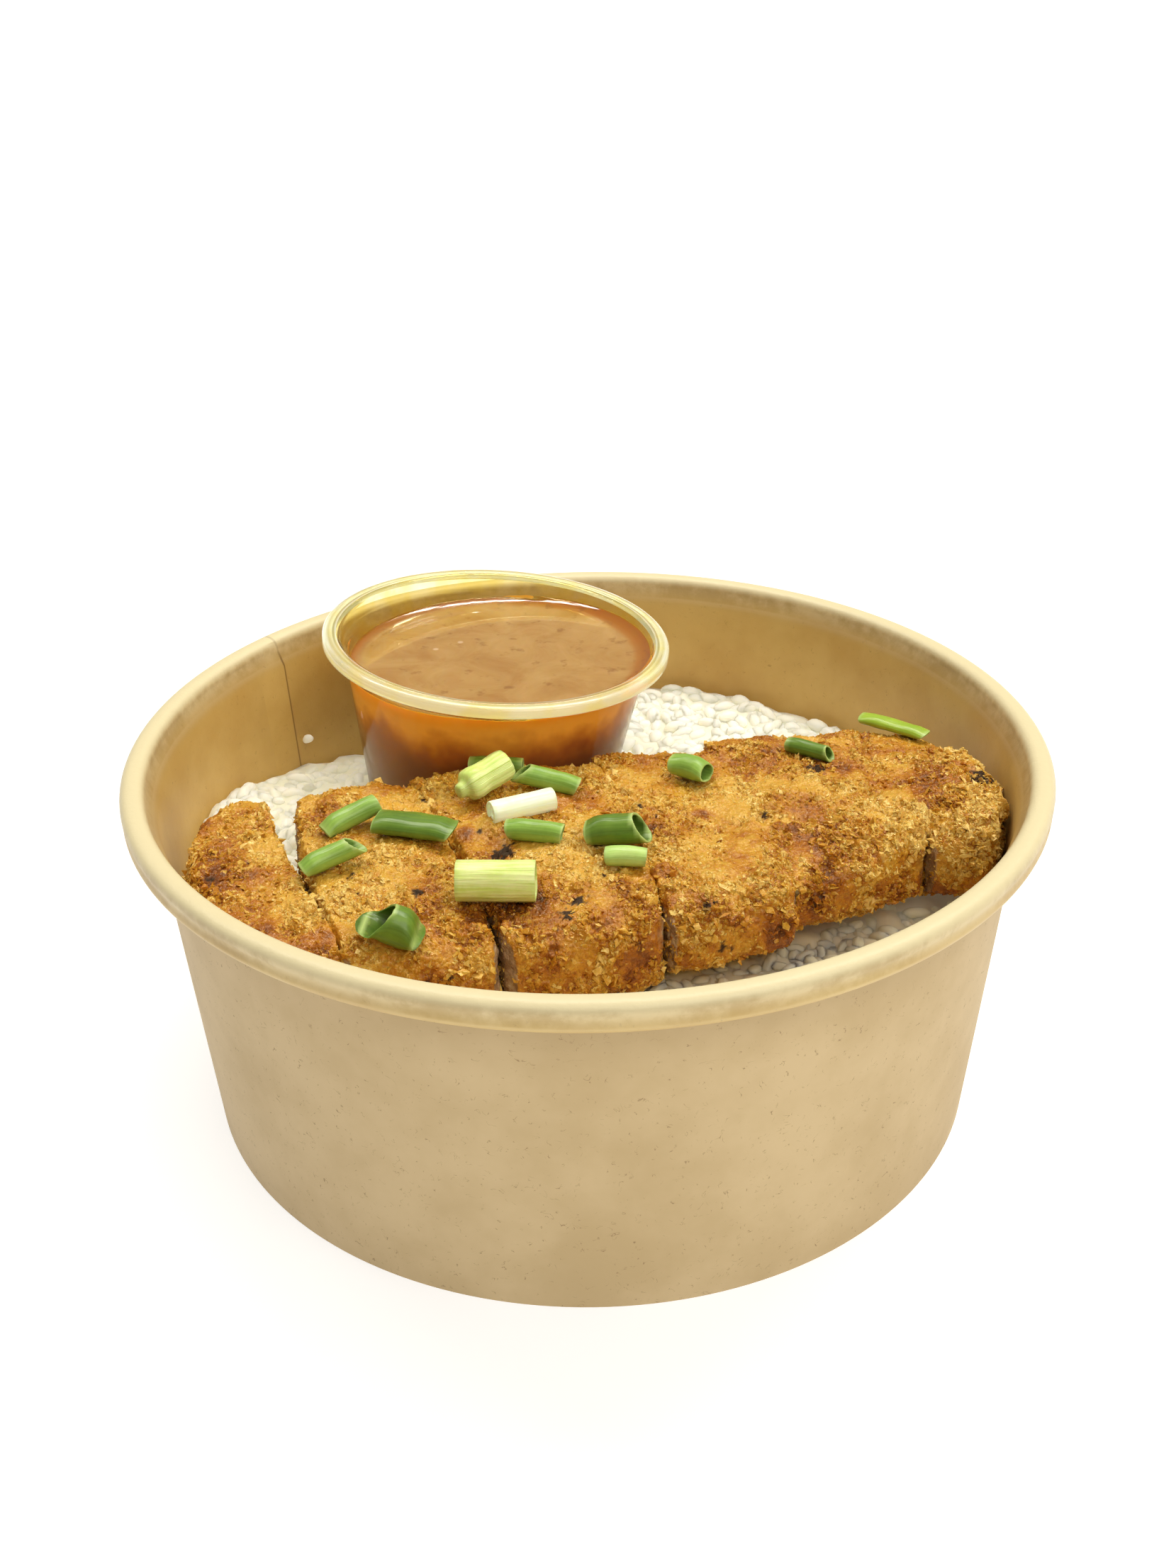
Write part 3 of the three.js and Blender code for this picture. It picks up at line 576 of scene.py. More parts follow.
def make_crust():
    made, tree = material(
        "fried crust", Specular_IOR_Level=0.6, Specular_Tint=(1.0, 0.86, 0.58),
        Subsurface_Weight=0.18, Subsurface_Scale=0.0008, Subsurface_Radius=(1.0, 0.45, 0.12))
    where = place(tree)
    crumbly, burn = attribute(tree, "crumbly"), attribute(tree, "burn")
    patches = ranged(noise_value(where, 100.0, 3.0, 0.55), 0.3, 0.7, -0.23, 0.23, False)
    blotches = ranged(noise_value(where, 420.0, 3.0, 0.6), 0.3, 0.7, -0.07, 0.07, False)
    grains = noise_value(where, 1500.0, 2.0, 0.6)
    chips = node(tree, "TexVoronoi", {"Vector": where, "Scale": 1300.0}).outputs
    browning_and_shade = plus(plus(patches, blotches), attribute(tree, "brown_and_shade"))
    browning_and_shade = larger(plus(browning_and_shade, ranged(grains, 0.2, 0.8, 0.39, 0.55, False)), 0.34)
    chipped = ranged(chips["Color"], 0.2, 0.8, -0.09, 0.09, False)
    browning_and_shade = times_plus(chipped, ranged(crumbly, 0.3, 0.9, 0.3, 1.0), browning_and_shade)
    # Painted shade: the crust is browner in the pits of its relief and paler on its raised crumbs.
    browning_and_shade = plus(browning_and_shade, ranged(attribute(tree, "crumb"), -1.0, 1.0, 0.08, -0.10, False))
    fried = ramp(
        plus(browning_and_shade, attribute(tree, "tint")), (0.18, (0.85, 0.57, 0.16)), (0.32, (0.68, 0.38, 0.05)),
        (0.46, (0.55, 0.24, 0.018)), (0.60, (0.40, 0.128, 0.010)), (0.75, (0.20, 0.05, 0.006)),
        (0.92, (0.07, 0.018, 0.004)))
    meat = ramp(
        noise_value(where, 420.0, 4.0, 0.6), (0.3, (0.22, 0.12, 0.06)), (0.55, (0.42, 0.27, 0.15)),
        (0.75, (0.56, 0.42, 0.27)))
    colour = mixed(attribute(tree, "meat"), fried, meat)
    colour = mixed(burn, colour, mixed(grains, (0.008, 0.003, 0.002), (0.05, 0.014, 0.004)))
    relief = times_plus(noise_value(where, 2600.0, 2.0), 0.5, grains)
    relief = times_plus(chips["Distance"], -0.5, relief)
    relief = times(relief, ranged(crumbly, 0.0, 1.0, 0.5, 1.0, False))
    gloss = ranged(blotches, -0.06, 0.06, 0.12, 0.32)
    shade(made, Base_Color=colour, Normal=bump(relief, 1.0, 0.00043), Roughness=times_plus(burn, 0.5, gloss))
    return made


def make_clear_plastic():
    made, tree = material(
        "clear plastic", IOR=1.16, Specular_IOR_Level=0.4, Specular_Tint=(1.0, 0.84, 0.55),
        Transmission_Weight=0.98)
    where = place(tree)
    smears = noise_value(where, 180.0, 3.0, 0.6)
    height = axis_of(where, "Z")
    splashed = times(ranged(height, 0.0595, 0.0612), ranged(smears, 0.3, 0.6, 0.5, 1.0))
    frosted = plus(ranged(height, 0.059, 0.0605, 0.05, 0.0), ranged(smears, 0.45, 0.7, 0.04, 0.14))
    shade(made, Base_Color=mixed(splashed, (0.985, 0.97, 0.86), (0.96, 0.84, 0.34)), Roughness=frosted)
    return made


def make_lip_plastic():
    # Painted light: the lip glows a little.
    made, tree = material("cup lip", IOR=1.46, Transmission_Weight=0.72, Emission_Strength=0.15)
    smears = noise_value(place(tree), 150.0, 3.0, 0.6)
    # Painted highlights: rings of pale and dark across the lip.
    across = ramp(
        attribute(tree, "across lip"), (0.1, (1.0, 1.0, 0.82)), (0.22, (0.64, 0.56, 0.22)),
        (0.36, (1.0, 0.98, 0.66)), (0.58, (0.78, 0.72, 0.38)), (0.78, (1.0, 1.0, 0.86)),
        (1.0, (0.92, 0.9, 0.62)))
    colour = mixed(ranged(smears, 0.45, 0.65, 0.0, 0.5), across, (1.0, 0.93, 0.48), "MULTIPLY")
    shade(made, Base_Color=colour, Emission_Color=colour, Roughness=ranged(smears, 0.4, 0.7, 0.05, 0.14))
    return made


def make_sauce_top():
    made, tree = material(
        "curry sauce", Roughness=0.03, Specular_IOR_Level=0.9, Subsurface_Weight=0.5,
        Subsurface_Scale=0.003, Subsurface_Radius=(1.0, 0.4, 0.1))
    where = place(tree)
    margin = attribute(tree, "margin")
    swirl = noise_value(where, 110.0, 4.0, 0.6, 0.8)
    colour = ramp(
        swirl, (0.3, (0.41, 0.205, 0.052)), (0.5, (0.475, 0.265, 0.078)), (0.72, (0.54, 0.32, 0.105)))
    colour = mixed(margin, colour, (0.42, 0.15, 0.014))
    specks = ranged(noise_value(where, 330.0, 3.0, 0.6), 0.58, 0.74, 0.0, 0.5)
    colour = mixed(specks, colour, (0.22, 0.08, 0.02))
    # Painted highlights at two small bumps of the sauce.
    for glint_spot in SAUCE_GLINTS:
        away = measured("DISTANCE", where, tuple(value * MM for value in glint_spot))
        colour = mixed(ranged(away, 0.0003, 0.0007, 0.5, 0.0), colour, (0.80, 0.58, 0.36))
    shade(made, Base_Color=colour, Normal=bump(times(swirl, minus(1.0, margin)), 0.1, 0.0004))
    return made


def make_sauce_side():
    """Behind the plastic the sauce is painted bright orange near the oily top and darker further down, and
    it glows: painted light for the light that shines through it.
    """
    made, tree = material(
        "curry sauce behind plastic", Roughness=0.5, Specular_IOR_Level=0.05, Subsurface_Weight=0.4,
        Subsurface_Scale=0.003, Subsurface_Radius=(1.0, 0.4, 0.1), Emission_Strength=1.0)
    where = place(tree)
    across, height = axis_of(where, "X"), axis_of(where, "Z")
    billows = minus(noise_value(where, 160.0, 3.0, 0.55), 0.5)
    # Painted light: brighter near the top, where light shines into the sauce, and darker further down.
    level = ranged(times_plus(billows, 0.009, height), 0.042, 0.0615, 0.0, 1.0, False)
    colour = ramp(
        level, (0.0, (0.10, 0.02, 0.003)), (0.45, (0.20, 0.045, 0.004)), (0.7, (0.40, 0.12, 0.008)),
        (0.88, (0.64, 0.28, 0.025)))
    # Painted reflection: milky patches towards the cup's left and right sides.
    painted_reflection = larger(ranged(across, -0.034, -0.022, 1.0, 0.0), ranged(across, 0.0, 0.008))
    painted_reflection = times(painted_reflection, ranged(level, 0.5, 0.8, 0.6, 0.0))
    # Painted glow, brightest near the top.
    painted_glow = ramp(
        level, (0.0, (0.012, 0.003, 0.0005)), (0.45, (0.05, 0.012, 0.001)), (0.6, (0.09, 0.02, 0.0015)),
        (0.74, (0.20, 0.065, 0.0035)), (0.9, (0.29, 0.11, 0.009)))
    shade(made, Base_Color=mixed(painted_reflection, colour, (0.33, 0.155, 0.02)), Emission_Color=painted_glow)
    return made


def onion(name, pale, deep, rib_depth, round_count=26.0, translucent=0.1, painted_glow=0.0):
    made, tree = material(
        name, Roughness=0.3, Specular_IOR_Level=0.4, Subsurface_Weight=translucent,
        Subsurface_Scale=0.0012, Subsurface_Radius=(0.5, 1.0, 0.25), Emission_Strength=painted_glow)
    ribs = use(tree, RIBS, {"Round": round_count, "Along": 1.3})
    mottle = mottled(place(tree), 220.0, 1200.0, 0.3)
    tone = times_plus(ribs["Streak"], 0.6, times(mottle, 0.4))
    colour = mixed(ranged(tone, 0.36, 0.64), deep, pale)
    # Painted shade inside the tube's hollow.
    hollow_shade = tuple(value * 0.3 for value in deep)
    colour = mixed(times(attribute(tree, "inside"), 0.45), colour, hollow_shade)
    colour = mixed(attribute(tree, "edge"), colour, (0.44, 0.58, 0.18))
    shade(made, Base_Color=colour, Emission_Color=colour, Normal=bump(ribs["Rib"], rib_depth, 0.00025))
    return made


KRAFT_OUTSIDE = make_kraft_outside()
KRAFT_INSIDE = make_kraft_inside()
RICE = make_rice()
CRUST = make_crust()
CLEAR_PLASTIC = make_clear_plastic()
LIP_PLASTIC = make_lip_plastic()
SAUCE_TOP = make_sauce_top()
SAUCE_SIDE = make_sauce_side()
LEAF_GREEN = onion("onion leaf", (0.35, 0.56, 0.10), (0.20, 0.36, 0.05), 0.35)
LEAF_DARK = onion("dark onion leaf", (0.17, 0.29, 0.035), (0.09, 0.175, 0.017), 0.35)
LEAF_BRIGHT = onion("bright onion leaf", (0.40, 0.55, 0.05), (0.28, 0.43, 0.03), 0.3)
LEAF_LIGHT = onion("light onion leaf", (0.58, 0.80, 0.24), (0.38, 0.60, 0.13), 0.35)
STEM_PALE = onion("pale onion stem", (0.86, 0.95, 0.42), (0.63, 0.78, 0.16), 0.8, 34.0, 0.25)
# Painted light: the white stem glows a little.
STEM_WHITE = onion("white onion stem", (0.94, 1.0, 0.80), (0.90, 0.98, 0.62), 0.4, 22.0, 0.3, 0.14)


# ---- Bowl ----

def outer_wall(z):
    return FOOT_RADIUS + WALL_SLOPE * z


def inner_wall(z):
    return outer_wall(z) - PAPER


def roll_arc(half_width, half_height, first, last, steps):
    """Points round the roll's squared oval, angle 0 being outwards."""
    centre = (RIM_RADIUS - RIM_ROLL[0] / 2, BOWL_HEIGHT - RIM_ROLL[1] / 2)
    depth, height, spread = RIM_HOLLOW
    points = []
    for angle in np.radians(np.linspace(first, last, steps)):
        c, s = math.cos(angle), math.sin(angle)
        out = half_width * math.copysign(abs(c) ** (2 / RIM_SQUARENESS), c)
        up = half_height * math.copysign(abs(s) ** (2 / RIM_SQUARENESS), s)
        if c > 0:
            out -= depth * math.exp(-((up - height) / spread) ** 2)
        points.append((centre[0] + out, centre[1] + up))
    return points


def make_bowl():
    half_width, half_height = RIM_ROLL[0] / 2, RIM_ROLL[1] / 2
    outline = [
        *((inner_wall(z), z) for z in np.linspace(BASE_TOP, ROLL_BOTTOM, WALL_STEPS)),
        *roll_arc(half_width, half_height, *ROLL_OUTSIDE),
        *roll_arc(half_width - PAPER, half_height - PAPER, *ROLL_INSIDE),
        *((outer_wall(z), z) for z in np.linspace(ROLL_BOTTOM, 0, WALL_STEPS)),
        (FOOT_RADIUS - FOOT_WIDTH, 0),
        (FOOT_RADIUS - FOOT_WIDTH, BASE_UNDERSIDE),
    ]
    bowl = joined("bowl_paper", [turned("bowl_paper", outline, BOWL_SIDES), make_seam_strip()])
    smooth(bowl, 32)

    def inside(at, normal):
        radius, wall = math.hypot(at.x, at.y), outer_wall(at.z) - PAPER
        inward = normal.x * at.x + normal.y * at.y < 0
        return (at.z > ROLL_BOTTOM and radius > wall) or (inward and radius < wall + PAPER / 2)

    two_looks(bowl, KRAFT_OUTSIDE, KRAFT_INSIDE, inside)
    added(bowl, "kraft_paper", "bowl")


def make_seam_strip():
    """Where the wall's sheet overlaps itself, one thickness of it stands proud inside."""
    roll_inside = RIM_RADIUS - RIM_ROLL[0]
    outline = [
        *((inner_wall(z) + SEAM_CLEARANCE, z) for z in (BASE_TOP, ROLL_BOTTOM)),
        *((roll_inside + out, ROLL_BOTTOM + up) for out, up in SEAM_END)]
    strip = turned("seam_strip", outline, BOWL_SIDES, capped=False, start_angle=SEAM_ANGLE)
    far_side = SEAM_ANGLE + SEAM_WIDTH / FOOT_RADIUS
    edit(strip)
    for angle, turn in ((SEAM_ANGLE, 1), (far_side, -1)):
        cut_at((0, 0, 0), (-math.sin(angle) * turn, math.cos(angle) * turn, 0), clear_inner=True)
    select_everything()
    bpy.ops.mesh.extrude_region_shrink_fatten(TRANSFORM_OT_shrink_fatten={"value": 0.0})
    proud = SEAM_PAPER / WALL_RADIUS_AT_RIM
    bpy.ops.transform.resize(value=(1 - proud, 1 - proud, 1), center_override=(0, 0, 0))
    face_outwards()
    edit_done()
    points = points_of(strip.data)
    angles = np.arctan2(points[:, 1], points[:, 0])
    share = np.clip((angles - SEAM_ANGLE) / (far_side - SEAM_ANGLE), 0, 1)
    points[:, :2] *= (1 + share * 1.15 * proud)[:, None]
    set_points(strip.data, points)
    return strip


# ---- Rice ----

def rice_level(x, y):
    level = RICE_LEVEL
    for hill_x, hill_y, rise, spread in RICE_HILLS:
        level = level + rise * np.exp(-((x - hill_x) ** 2 + (y - hill_y) ** 2) / spread ** 2)
    return level


def tree_of(nodes):
    """A search tree over the named CAD solids, in metres."""
    vertices, triangles = [], []
    for name in nodes:
        mesh = CAD[name].data
        start = len(vertices)
        vertices += [v.co.copy() for v in mesh.vertices]
        triangles += [[start + i for i in face.vertices] for face in mesh.polygons]
    return BVHTree.FromPolygons(vertices, triangles)


SLICE_NAMES = sorted(name for name in CAD if name.startswith("katsu_slice_"))
SLICES_TREE = tree_of(SLICE_NAMES)


def under_food(x, y):
    up = Vector((0, 0, 1))
    return SLICES_TREE.ray_cast(Vector((x, y, 20)) * MM, up)[0] is not None


def cup_axis(z):
    return CUP_RIM_CENTRE.x - math.tan(CUP_TILT) * (CUP_RIM_CENTRE.z - z), CUP_RIM_CENTRE.y


def rice_lump(x, y):
    return 1.3 * noise.noise(Vector((x, y, 20)) / 5) + 0.7 * noise.noise(Vector((x, y, 50)) / 2.6)


def make_rice_bed():
    bottom = BASE_TOP + 0.3
    edge = inner_wall(RICE_LEVEL) - 0.5
    rings = [(edge * ring / RICE_RINGS, RICE_LEVEL) for ring in range(RICE_RINGS, 0, -1)]
    bed = turned("rice_bed", [(inner_wall(bottom) - 0.4, bottom), *rings], RICE_SIDES)
    points = points_of(bed.data) / MM
    top = points[:, 2] > RICE_LEVEL - 0.1
    x, y = points[top, 0], points[top, 1]
    lumps = [rice_lump(a, b) + 0.35 * noise.noise(Vector((a, b, 9)) / 1.7) for a, b in zip(x, y)]
    points[top, 2] = rice_level(x, y) + CORE_LIFT + lumps
    set_points(bed.data, points * MM)
    set_attribute(bed.data, "tint", np.full(len(points), 0.2))
    smooth(bed)
    finished(bed, RICE, "rice", "rice")


def make_grain_shape():
    grain = primitive(
        bpy.ops.mesh.primitive_uv_sphere_add, "grain", segments=8, ring_count=7, radius=0.5 * MM,
        rotation=(0, math.pi / 2, 0))
    points = points_of(grain.data) / MM
    fullness = np.abs(points[:, 0] * 2)
    points *= GRAIN
    points[:, 1] *= 1 + 0.10 * fullness ** 2
    points[:, 2] += 0.35 * (1 - fullness ** 2) - 0.2
    set_points(grain.data, points * MM)
    return grain


def crowded(cells, x, y, spacing):
    """Whether a grain lies too near; if not, it is noted in its cell of the floor plan."""
    i, j = int(x // spacing), int(y // spacing)
    near = [p for a in (i - 1, i, i + 1) for b in (j - 1, j, j + 1) for p in cells.get((a, b), [])]
    if any((x - a) ** 2 + (y - b) ** 2 < spacing ** 2 for a, b in near):
        return True
    cells.setdefault((i, j), []).append((x, y))
    return False


def make_rice_grains():
    random = np.random.default_rng(GRAIN_SEED)
    matrices, tints = [], []
    cup_x, cup_y = cup_axis(RICE_LEVEL)
    for tries, spacing, lift, steep in GRAIN_LAYERS:
        cells = {}
        for _ in range(tries):
            x, y = random.uniform(-GRAIN_FIELD, GRAIN_FIELD, 2)
            radius = math.hypot(x, y)
            length = random.uniform(0.86, 1.12)
            level = float(rice_level(x, y))
            from_wall = inner_wall(level) - 0.5 - radius
            outwards = 1 + 6 / max(radius, 6)
            if from_wall < GRAIN_TO_WALL or under_food(x * outwards, y * outwards):
                continue
            if lift and noise.noise(Vector((x, y, 40)) / 7) < -0.05:
                continue
            from_cup = math.hypot(x - cup_x, y - cup_y) - (CUP_BASE_RADIUS + 1.2)
            if from_cup < GRAIN_TO_CUP or crowded(cells, x, y, spacing):
                continue
            yaw = random.uniform(0, math.pi)
            pitch = random.normal(0, steep)
            if from_wall < LINED_UP:
                yaw = math.atan2(y, x) + math.pi / 2 + random.normal(0, 0.12)
                pitch *= 0.3
            elif from_cup < LINED_UP:
                yaw = math.atan2(y - cup_y, x - cup_x) + math.pi / 2 + random.normal(0, 0.15)
            height = level + lift + random.uniform(-0.3, 0.35) + rice_lump(x, y)
            if under_food(x, y):
                height = min(height, RICE_LEVEL - 0.2)
            turn = Matrix.Rotation(yaw, 4, "Z") @ Matrix.Rotation(pitch, 4, "Y")
            turn = turn @ Matrix.Rotation(random.uniform(-0.9, 0.9), 4, "X")
            size = Matrix.Diagonal((length, random.uniform(0.88, 1.1), random.uniform(0.88, 1.08), 1))
            matrices.append(Matrix.Translation(Vector((x, y, height)) * MM) @ turn @ size)
            tints.append(random.uniform(0, 1))
    at, turn, size = STRAY_GRAIN
    stray = Matrix.Translation(Vector(at) * MM) @ Matrix.Rotation(turn, 4, "Z")
    matrices.append(stray @ Matrix.Diagonal((*size, 1)))
    tints.append(0.5)
    grains = scattered("rice_grains", make_grain_shape(), [np.array(m) for m in matrices], tints)
    smooth(grains)
    finished(grains, RICE, "rice", "rice")


# ---- Katsu ----

KATSU_UNDERSIDE = 37
KATSU_EDGE_RADIUS = 6
KATSU_END_RADIUS = 3
KATSU_CUT_RADIUS = 0.45
KATSU_END_ROUNDING = 0.42
KATSU_CROWN = 0.5
KATSU_SWELL = (0.7, 11)  # height and pitch
CRUST_THICKNESS = 2.2
VOXEL = 0.3
LUMPINESS = 1.65  # heights of the crust's relief, from coarse to fine
KNOBBINESS = 1.65
PITTING = -0.85
FINE_RELIEF = 0.4
TORN_MEAT = 0.8
LEVEL = (0, 0, 0, 0)
SLICES = (  # left and right side: x and y at the back, x and y at the front, bow; then heights of
    # the top at back left, back right, front left and front right, lifts of the underside there,
    # how far the back and front ends bulge, and which side was never cut
    ((-65, -1, -49, -46, -5.6), (-54, 1, -34.4, -48.5, -0.8),
     (50, 52, 49.5, 51), LEVEL, (1, 1), -1),
    ((-49.2, -1, -33.3, -49, -2.6), (-30.6, 4, -13.6, -46, 0.8),
     (52, 52.5, 51.5, 51.5), LEVEL, (3, 1.5), 0),
    ((-29.8, 5, -11.2, -45, 0.8), (0.6, 10, 10.4, -40, 0.4),
     (53, 53, 51.5, 52), LEVEL, (1, 1.5), 0),
    ((1.3, 13.5, 12.6, -39, 0.4), (20.6, 13, 30.6, -33.5, 0.6),
     (52, 52.5, 52, 52), (0, 0, 1, 3.2), (1.5, 1.5), 0),
    ((21.2, 17.5, 31.6, -30, 0.6), (31.8, 16.5, 53.2, -19, 6),
     (52.5, 53.4, 52, 53.8), (0, 0, 3, 3), (1.5, 1.5), 0),
    ((33.2, 20.5, 54.4, -18.5, 6), (63.4, 19.5, 66.2, -20.5, 3.6),
     (50.2, 51, 51.2, 55.5), (0, 2, 2.2, 1.2), (5, 0.5), 1),
)
PRESSED_SLICES = (1, 2, 3)
PRESS_CLEARANCE = 0.9
PRESS_SIDES = 96
CRUST_OVER_CUTS = 0.12  # how much of the crust's relief a cut side still has
LOWEST_MEAT = 39
BLOCK = (26, 60, 20)  # squares across, along and through a slice
CUT_FACING = (0.94, 0.33, 0)
CRUMB_PATCHES = (5.0, 90)  # pitch and seed of the crumbly and the smooth places
SEAM_RAGGED = 0.45
SEAM_STEPS = (0, 0.25, 0.5, 0.75, 0.9, 1)
SEAM_GAPS = (  # between neighbouring slices, from the back to the front; below 0 they press together
    (5.0, 3.3, 1.0, -0.3, -0.9, -0.9),
    (-1.3, -1.3, 0.3, 0.1, 0.7, 1.5),
    (-1.5, -1.5, -1.5, -1.4, 0.2, 1.6),
    (-2.2, -2.2, -2.2, -2.2, -1.8, -0.3),
    (-2.2, -2.2, -2.2, -2.2, -0.9, 1.7),
)
BROWNING = 2.1
NODULE_BROWNING = 0.24
BURNT = (  # column and row in the frame, and radius in millimetres
    (712, 1201, 1.3), (722, 1203, 1.0), (700, 1203, 0.7), (816, 1270, 1.0), (800, 1289, 1.1),
    (1150, 1083, 1.2), (1164, 1081, 0.7), (1387, 1097, 1.6), (1380, 1090, 1.0), (497, 1234, 0.8),
    (505, 1260, 0.4), (592, 1260, 0.7), (786, 1312, 0.5), (770, 1275, 0.4), (745, 1320, 0.4),
    (820, 1243, 0.4), (903, 1136, 0.5), (925, 1149, 0.4), (1021, 1336, 0.9), (972, 1246, 0.4),
    (1000, 1275, 0.8), (1004, 1377, 2.0), (528, 1200, 0.4), (298, 1240, 0.8), (636, 1379, 0.5),
    (1123, 1264, 0.6), (597, 1128, 0.5), (676, 1173, 0.5), (1078, 1154, 0.7), (853, 1236, 0.4),
)
NODULES = (  # column, row, radius and height of the darker lumps
    (462, 1133, 2.0, 0.7), (870, 1248, 1.5, 0.6), (884, 1252, 1.3, 0.5), (937, 1226, 2.2, 0.5),
    (1098, 1167, 1.2, 0.5), (1120, 1167, 1.4, 0.5), (657, 1174, 1.6, 0.3), (926, 1167, 1.3, 0.4),
    (527, 1233, 1.0, 0.3), (1004, 1377, 2.0, 0.8), (988, 1150, 1.6, 0.2), (1040, 1300, 1.2, 0.3),
)
# Most patches are the crust's own browning; the browner ones on the left-hand slice, at columns 305 and 345,
# are painted shade.
BROWNED_AND_SHADED = (  # column, row, radius, and how much browner: golden patches are below 0
    (385, 1205, 5, -0.16), (410, 1270, 5, -0.10), (305, 1215, 8, 0.09), (345, 1290, 9, 0.08),
    (520, 1220, 9, -0.14), (450, 1280, 6, -0.08), (565, 1310, 6, 0.06), (480, 1150, 4, 0.06),
    (620, 1330, 6, 0.02), (640, 1130, 6, -0.10), (721, 1275, 5, 0.14), (800, 1195, 8, -0.14),
    (775, 1248, 4, 0.08), (851, 1308, 6, -0.04), (883, 1361, 5, 0.02), (765, 1361, 7, 0.05),
    (900, 1130, 8, -0.06), (1015, 1107, 8, -0.10), (988, 1312, 6, 0.02), (1041, 1344, 6, 0.06),
    (980, 1200, 6, -0.10), (1112, 1118, 7, -0.06), (1182, 1270, 8, 0.06), (1160, 1180, 6, 0.02),
    (1246, 1134, 7, -0.12), (1292, 1153, 5, -0.12), (1136, 1142, 3, 0.06), (1325, 1099, 7, 0.06),
    (1420, 1172, 7, 0.17), (1352, 1250, 8, 0.03), (1212, 1250, 8, 0.02), (1300, 1210, 6, 0.0),
)
COARSE = (  # x, y and spread of the places with coarse flakes, and how many more there are
    (65, -4, 12, 3.5), (60, -18, 9, 2.5), (-60, -24, 12, 2.6), (-52, -42, 9, 2.0), (36, -30, 9, 1.8),
    (16, -38, 8, 1.6), (44, -22, 8, 1.6),
)


def relief_texture(kind, size, **settings):
    texture = bpy.data.textures.new(f"relief {kind.lower()} {size}", kind)
    texture.noise_scale = size * MM
    for name, value in settings.items():
        setattr(texture, name, value)
    return texture


LUMPS = relief_texture("CLOUDS", 6.0, noise_depth=1)
KNOBS = relief_texture("CLOUDS", 2.2, noise_depth=1)
CRUMB = relief_texture("VORONOI", 0.9, distance_metric="DISTANCE", noise_intensity=1.0)
FINE = relief_texture("CLOUDS", 0.45, noise_depth=1, noise_type="HARD_NOISE")
MEAT_FIBRE = relief_texture("CLOUDS", 1.6, noise_depth=2)


def along_side(values, v):
    """A place on a slice's side: v is 0 at the back and 1 at the front."""
    back_x, back_y, front_x, front_y, bow = values
    length = math.hypot(front_x - back_x, front_y - back_y)
    middle_x = (back_x + front_x) / 2 - (front_y - back_y) / length * bow * 2
    middle_y = (back_y + front_y) / 2 + (front_x - back_x) / length * bow * 2
    back, middle, front = (1 - v) ** 2, 2 * v * (1 - v), v ** 2
    return (
        back * back_x + middle * middle_x + front * front_x,
        back * back_y + middle * middle_y + front * front_y)


def seam_x(seam, y):
    """The line that two neighbouring slices share."""
    steps = np.linspace(1, 0, 60)
    right_x, right_y = along_side(SLICES[seam][1], steps)
    left_x, left_y = along_side(SLICES[seam + 1][0], steps)
    return (np.interp(y, right_y, right_x) + np.interp(y, left_y, left_x)) / 2


def slice_side(index, side, v):
    x, y = along_side(SLICES[index][side], v)
    seam = index - 1 + side
    if 0 <= seam < len(SEAM_GAPS):
        ragged = np.sin(y * 4.1 + seam) * np.sin(y * 1.7 + side * 2)
        ragged += np.sin(y * 0.83 + seam * 2 + side)
        gap = np.interp(v, SEAM_STEPS, SEAM_GAPS[seam]) + ragged * SEAM_RAGGED
        x = seam_x(seam, y) + gap / 2 * (-1 if side else 1)
    return x, y


def between_corners(corners, u, v):
    back_left, back_right, front_left, front_right = corners
    back = (1 - u) * back_left + u * back_right
    return (1 - v) * back + v * ((1 - u) * front_left + u * front_right)


def shaped_as_slice(index, block):
    """Places on the slice for the points of a block from -1 to 1: x across, y to the back, z up."""
    left_side, right_side, tops, lifts, bulges, crust_side = SLICES[index]
    left_x, left_y = along_side(left_side, 0.5)
    right_x, right_y = along_side(right_side, 0.5)
    width = math.hypot(left_x - right_x, left_y - right_y)
    run_x, run_y = left_side[0] - left_side[2], left_side[1] - left_side[3]
    length = math.hypot(run_x, run_y)
    half = np.array((width, length, tops[0] - KATSU_UNDERSIDE)) / 2
    radius = np.full((len(block), 3), float(KATSU_EDGE_RADIUS))
    radius[:, 0] = np.where(np.sign(block[:, 0]) == crust_side, KATSU_END_RADIUS, KATSU_CUT_RADIUS)
    at = block * half
    inner = np.clip(at, radius - half, half - radius)
    outwards = (at - inner) / radius
    outwards /= np.linalg.norm(outwards, axis=1)[:, None]
    a, b, c = ((inner + outwards * radius) / half).T
    if crust_side:
        rounding = np.where(np.sign(a) == crust_side, KATSU_END_ROUNDING, 0)
        a, b = a * np.sqrt(1 - rounding * b * b), b * np.sqrt(1 - rounding * a * a)
    u, v = (a + 1) / 2, (1 - b) / 2
    left, right = np.array(slice_side(index, 0, v)), np.array(slice_side(index, 1, v))
    x, y = left * (1 - u) + right * u
    bulge = np.where(b > 0, bulges[0], -bulges[1]) * (1 - a ** 2) * b ** 2
    x += bulge * run_x / length
    y += bulge * run_y / length
    swell, pitch = KATSU_SWELL
    uneven = np.array([noise.noise(Vector((p, q, 3)) / pitch) for p, q in zip(x, y)])
    top = between_corners(tops, u, v) + KATSU_CROWN * (1 - a ** 2) * (1 - b ** 2) + swell * uneven
    bottom = KATSU_UNDERSIDE + between_corners(lifts, u, v)
    return np.stack((x, y, bottom + (top - bottom) * (c + 1) / 2), 1)


